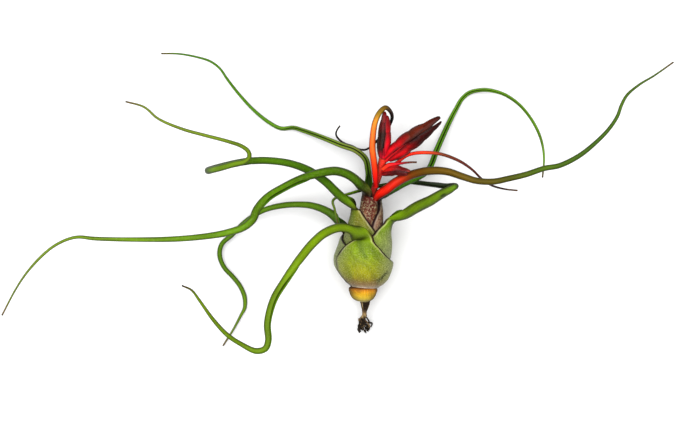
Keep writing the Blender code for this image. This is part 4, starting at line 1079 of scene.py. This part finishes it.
def boat_grid(stalk, foot, length, reach, side_degrees):
    """The rings of one floral bract: arcs whose back stands out by a half sine, fullest halfway up.

    A narrow keel and fine ribs stand on the back, and the inner face is an arc inside it by the wall.
    """
    places = foot + BOAT_SHARE[:, 0] * length
    centres, tangents = stalk_at(stalk, distance_along(stalk[:, :3]), places)
    right = unit(np.cross(tangents, (0.0, 0.0, 1.0)))
    turn = math.radians(side_degrees)
    normals = math.cos(turn) * np.cross(right, tangents) + math.sin(turn) * right
    sides = np.cross(tangents, normals)
    swell = np.sin(math.pi * (SWELL_AT_FOOT + SWELL_RUN * BOAT_SHARE)) ** SWELL_POWER
    swell[-1] *= POINT_NARROWED
    radius = np.maximum(ROUNDNESS * reach * swell, LEAST_RADIUS)
    keel = KEEL_HEIGHT * np.exp(-((BOAT_ACROSS / KEEL_WIDTH) ** 2)) * np.sin(math.pi * BOAT_SHARE)
    outer = radius + keel + BOAT_RIB_HEIGHT * np.cos(BOAT_ACROSS * BOAT_RIB_PITCH)
    wall = np.minimum(BOAT_WALL, BOAT_WALL_SHARE * radius) * (1 - BOAT_THINNING * BOAT_ACROSS**4)
    inner = np.maximum(radius - wall, LEAST_INNER * radius)
    angle = np.radians(HALF_ANGLE_AT_FOOT - HALF_ANGLE_FALL * BOAT_SHARE) * BOAT_ACROSS
    deep = np.hstack((outer * np.cos(angle), (inner * np.cos(angle))[:, ::-1]))
    deep = deep + FOOT_REACH + (reach - FOOT_REACH) * swell - radius
    side = np.hstack((outer * np.sin(angle), (inner * np.sin(angle))[:, ::-1]))
    return centres[:, None] + deep[..., None] * normals[:, None] + side[..., None] * sides[:, None]


# %% [markdown]
# The lower floral bracts are bright red, and toward the spike's tip they darken to maroon. Each one has
# painted shade along its margins and a painted highlight along its keel, where the light catches the fold.

# %% The colour of one floral bract
BOAT_BOTH = np.hstack((BOAT_ACROSS, BOAT_ACROSS[:, ::-1])) * np.ones((BOAT_RINGS, 1))
BOAT_CLOUDS = 0.22
BOAT_CLOUDS_ALONG = 4
BOAT_CLOUDS_ACROSS = 2
BOAT_MARGIN = (0.72, 1.0)
BOAT_MARGIN_SHADE = 0.45
KEEL_LINE_WIDTH = 0.14
KEEL_LINE_SHARE = 0.4
BOAT_FLAT_WIDTH = 1.4


def boat(stalk, foot, length, reach, side_degrees, stops, keel_highlight, seed):
    """One floral bract as a coloured shell, with its stops measured along the stalk."""
    points, faces = shell(boat_grid(stalk, foot, length, reach, side_degrees), folded=True)
    levels = ramp(foot + BOAT_SHARE * length, stops) * np.ones((1, 2 * BOAT_POINTS, 1))
    clouds_here = cloudy(BOAT_SHARE * BOAT_CLOUDS_ALONG, BOAT_BOTH * BOAT_CLOUDS_ACROSS, seed)
    clouded = 1 + BOAT_CLOUDS * clouds_here
    # Painted shade along the margins, and a painted highlight along the keel.
    shaded = 1 - BOAT_MARGIN_SHADE * soft_step(*BOAT_MARGIN, np.abs(BOAT_BOTH))
    keel_line = np.exp(-((BOAT_BOTH / KEEL_LINE_WIDTH) ** 2)) * np.sin(math.pi * BOAT_SHARE)
    levels = toward(levels * (clouded * shaded)[..., None], keel_highlight, KEEL_LINE_SHARE * keel_line)
    along = BOAT_SHARE * length * np.ones((1, 2 * BOAT_POINTS))
    flat = np.stack((along, BOAT_BOTH * reach * BOAT_FLAT_WIDTH), -1)
    return points, faces, levels.reshape(-1, 3), flat.reshape(-1, 2)


# %% [markdown]
# Stalks, the stem and the roots are round, so one function makes them all: a circle carried along a
# smooth route, with its radius varied a little where the real one is rough. A curve object with a bevel
# would be quicker, but it couldn't be roughened and coloured point by point as this is.

# %% Round shells along a route
TUBE_TOP = np.array((0.0, 0.3, 1.0))
ROUGH_ALONG = 1.1
ROUGH_AROUND = 2
TUBE_CLOUDS = 0.12


def tube(route, sides, stops, spacing=0.4, rough=0.0, seed=1):
    """A round shell along a smooth route of x, y, z and radius, with colour stops along it."""
    rows, _ = smooth_path(route, spacing)
    tangents, normals = carried_normals(rows[:, :3], TUBE_TOP)
    along = distance_along(rows[:, :3])[:, None]
    turn = np.linspace(0, 2 * math.pi, sides, endpoint=False)[None, :]
    around = np.cross(tangents, normals)
    radius = rows[:, 3:4] * (1 + rough * cloudy(along * ROUGH_ALONG, turn * ROUGH_AROUND, seed))
    grid = rows[:, None, :3] + (radius * np.cos(turn))[..., None] * normals[:, None]
    grid = grid + (radius * np.sin(turn))[..., None] * around[:, None]
    points, faces = shell(grid)
    levels = ramp(along, stops) * (1 + TUBE_CLOUDS * cloudy(along, turn, seed + 1)[..., None])
    flat = np.stack((along * np.ones((1, sides)), turn * rows[:, 3:4]), -1)
    return points, faces, levels.reshape(-1, 3), flat.reshape(-1, 2)


# %% [markdown]
# The spikes' two ranks differ in colour, because one lies more in shade, so each spike has a list of stops
# for its left rank and one for its right, and the darker list is painted shade. On the slanting spike the
# browner middle stops of the left rank are a painted highlight along its upper edge. The keel colour of
# each spike is a painted highlight, brownish on the upright spike, and the bracts of the slanting one are
# the fullest.

# %% The three spikes
STALK_SIDES = 16
BOAT_SEED = 50


def make_spike(name, stalk, bracts, left, right, keel):
    """One spike: its stalk and its boats, as a finished piece in its solid's place.

    Each bract is a foot along the stalk, a length, a reach and a side in degrees, minus on the left.
    """
    parts = [tube(stalk, STALK_SIDES, right)]
    for k, bract in enumerate(bracts):
        stops = left if bract[3] < 0 else right
        parts.append(boat(np.array(stalk), *bract, stops, keel, BOAT_SEED + k))
    make_piece(name + "_finished", *merged(parts), BRACT_FINISH, "flower_spike", [name])


make_spike(
    "spike_upright", keel=(134, 92, 44),
    stalk=[(7.0, 38.6, 20.4, 0.9), (7.3, 43.5, 21.4, 1.0), (7.6, 48.0, 21.6, 0.9), (7.8, 52.6, 21.6, 0.5)],
    bracts=[(0.4, 11.0, 2.4, -80), (1.2, 11.8, 2.5, 80), (4.0, 11.0, 2.4, -60), (5.7, 10.5, 2.2, 70),
            (7.8, 9.8, 1.7, -30)],
    left=[(0, (196, 12, 40)), (2.5, (150, 12, 30)), (4, (52, 20, 16)), (9, (40, 18, 12)),
          (12, (92, 16, 20)), (18, (120, 12, 20))],
    right=[(0, (204, 12, 44)), (6, (212, 10, 30)), (11, (160, 10, 22)), (18, (110, 10, 18))])
make_spike(
    "spike_slanting", keel=(206, 70, 40),
    stalk=[(7.6, 38.0, 20.2, 0.9), (11.2, 41.0, 21.2, 1.3), (15.1, 44.0, 22.4, 1.5), (19.2, 46.9, 23.8, 1.2),
           (23.0, 49.6, 25.2, 0.7)],
    bracts=[(0.3, 12.6, 3.1, -85), (1.6, 13.0, 3.2, 85), (4.6, 13.0, 3.6, -80), (6.8, 12.6, 3.3, 80),
            (9.0, 12.4, 3.4, -75), (11.2, 11.8, 2.8, 75), (13.4, 13.0, 2.5, -60), (15.6, 10.2, 2.0, 80)],
    # The browner middle stops here are a painted highlight along the upper edge.
    left=[(0, (206, 8, 26)), (9, (214, 8, 20)), (11.5, (150, 12, 10)), (14, (96, 28, 8)),
          (19, (84, 24, 8)), (27, (46, 8, 4))],
    right=[(0, (212, 8, 24)), (9, (204, 8, 20)), (12, (116, 4, 8)), (15, (58, 4, 6)), (27, (40, 4, 4))])
make_spike(
    "spike_low", keel=(222, 60, 40),
    stalk=[(6.6, 33.7, 19.4, 0.6), (9.2, 34.6, 20.9, 1.0), (12.0, 34.7, 22.2, 1.0), (15.0, 34.1, 23.4, 0.5)],
    bracts=[(0.2, 8.0, 1.9, 75), (0.8, 8.6, 2.1, -60), (3.2, 7.6, 1.8, 65), (4.4, 7.2, 1.6, -60)],
    left=[(0, (206, 14, 12)), (5, (196, 12, 14)), (7, (104, 10, 14)), (10, (84, 10, 12)),
          (12, (190, 70, 56))],
    right=[(0, (190, 10, 18)), (3, (120, 8, 14)), (6, (70, 10, 12)), (10, (84, 12, 14)),
           (12, (190, 70, 56))])

# %% [markdown]
# The stub under the bulb is the old stem: dry, yellow to orange, fibrous, with a brown painted shadow where
# the front leaf hangs over it, and pale at its cut foot. It is one tapering tube that carries on inside the
# bulb and leaves the neck as the flower stalk.

# %% The stem
STEM_IN_BULB = [(-0.4, 2.2), (0.1, 3.3), (1.0, 4.2), (2.4, 4.9), (3.8, 5.35), (4.6, 5.2), (5.7, 3.9),
                (7.0, 3.0), (8.6, 2.6), (11.0, 2.2), (16.0, 2.1), (22.0, 1.8), (26.0, 1.5), (30.0, 1.3),
                (37.0, 1.15)]
STEM_PAST_NECK = [(3.9, 27.7, 14.2, 1.2), (5.2, 31.3, 16.4, 1.2), (6.2, 34.4, 18.2, 1.2),
                  (6.7, 37.0, 19.4, 1.5), (7.2, 39.4, 20.5, 1.5)]
# From about 5 mm on the browns are a painted shadow under the front leaf's lip.
STEM_STOPS = [(0, (220, 204, 134)), (1.4, (212, 182, 56)), (3.4, (206, 154, 20)), (4.9, (168, 100, 16)),
              (5.6, (110, 54, 16)), (6.5, (110, 60, 26)), (34, (120, 60, 40)), (38, (150, 16, 20)),
              (52, (226, 30, 24))]
STEM_SIDES = 40
STEM_ROUGHNESS = 0.03
STEM_SEED = 60
STEM_FINISH = plant_finish("dry_stem", dust=0.4, veins=0.3, gloss=0.75, vein_pitch=1.6,
                           pale=(0.85, 0.7, 0.35), dark=(0.3, 0.1, 0.02))
stem_route = [(*bulb_centre(height), radius) for height, radius in STEM_IN_BULB] + STEM_PAST_NECK
stem_shell = tube(stem_route, STEM_SIDES, STEM_STOPS, rough=STEM_ROUGHNESS, seed=STEM_SEED)
make_piece("stem_finished", *stem_shell, STEM_FINISH, "stem", ["stem"])

# %% [markdown]
# The roots of an air plant are wires for holding on with. They leave the stub as one twisted bundle,
# pinch in at a waist, and fray into stiff crooked ends. Each strand is a tube on a route with a few
# seeded kinks. Every third strand is brown with pale tan bands, and the black ones have one such band:
# the pale bands are painted highlights.

# %% One root strand
ROOT_FOOT = np.array((0.8, -12.7, 9.4))
ROOT_WAIST = np.array((0.5, -19.4, 5.9))
ROOT_ENDS = [(-1.5, -24.6, 3.2), (-0.9, -25.6, 1.5), (0.3, -25.0, 4.2), (1.3, -25.9, 2.2),
             (2.4, -25.0, 3.4), (3.2, -23.9, 1.8), (-1.2, -23.2, 4.6)]
# Pale bands in both lists are painted highlights along the strands.
ROOT_HIGHLIGHTED = [(0, (120, 96, 60)), (3, (200, 176, 130)), (5, (90, 66, 40)), (7, (196, 166, 112)),
              (9, (60, 44, 30)), (12, (150, 124, 84)), (15, (24, 18, 14))]
ROOT_DARK = [(0, (30, 20, 16)), (4, (22, 14, 10)), (6.5, (160, 130, 90)), (8.5, (20, 14, 10)),
             (14, (10, 8, 6))]
STRAND_TURN = 2.4
FOOT_RING = np.array((1.7, 0.0, 0.9))
MIDDLE_RING = np.array((0.9, 0.0, 0.6))
MIDDLE_SHIFT = (0.1, 0, 0)
WAIST_RING = 0.6
END_SCATTER = 0.4
KINKS_AT = (0.3, 0.55, 0.8)
KINK_SCATTER = 0.75
LOWEST_CENTRE = 0.8
STRAND_RADIUS = (0.34, 0.46)
WAIST_THINNED = 0.8
KINKS_THINNED = 0.85
END_THINNED = 0.5
STRAND_SIDES = 8
STRAND_SPACING = 0.35
STRAND_ROUGHNESS = 0.18
STRAND_SEED = 70
HIGHLIGHTED_EVERY = 3
rng = np.random.default_rng(7)


def root_strand(k):
    """One strand from the stub through the waist to a crooked end near one of the solid's ends."""
    turn = STRAND_TURN * k
    ring = np.array((math.cos(turn), 0.0, math.sin(turn)))
    end = np.array(ROOT_ENDS[k % len(ROOT_ENDS)]) + rng.normal(0, END_SCATTER, 3)
    foot = ROOT_FOOT + FOOT_RING * ring
    middle = (foot + ROOT_WAIST) / 2 + MIDDLE_RING * np.roll(ring, 2) + MIDDLE_SHIFT
    waist = ROOT_WAIST + WAIST_RING * np.roll(ring, 1)
    kinks = [waist + (end - waist) * share + rng.normal(0, KINK_SCATTER, 3) for share in KINKS_AT]
    for point in kinks + [end]:
        point[2] = max(point[2], LOWEST_CENTRE)
    thick = rng.uniform(*STRAND_RADIUS)
    route = [(*foot, thick), (*middle, thick), (*waist, WAIST_THINNED * thick)]
    route += [(*kink, KINKS_THINNED * thick) for kink in kinks] + [(*end, END_THINNED * thick)]
    stops = ROOT_HIGHLIGHTED if k % HIGHLIGHTED_EVERY == 1 else ROOT_DARK
    return tube(route, STRAND_SIDES, stops, STRAND_SPACING, STRAND_ROUGHNESS, STRAND_SEED + k)


# %% [markdown]
# The measured solid has seven strands. Here there are twice as many, two to each of its ends. They stay
# one piece, as the bundle holds together and no strand moves on its own.

# %% The roots
STRANDS = 14
ROOT_FINISH = plant_finish("wiry_root", dust=0.6, veins=0.4, gloss=0.7, pale=(0.3, 0.2, 0.1),
                           dark=(0.005, 0.003, 0.002))
strands = [root_strand(k) for k in range(STRANDS)]
make_piece("roots_finished", *merged(strands), ROOT_FINISH, "roots", ["roots"])
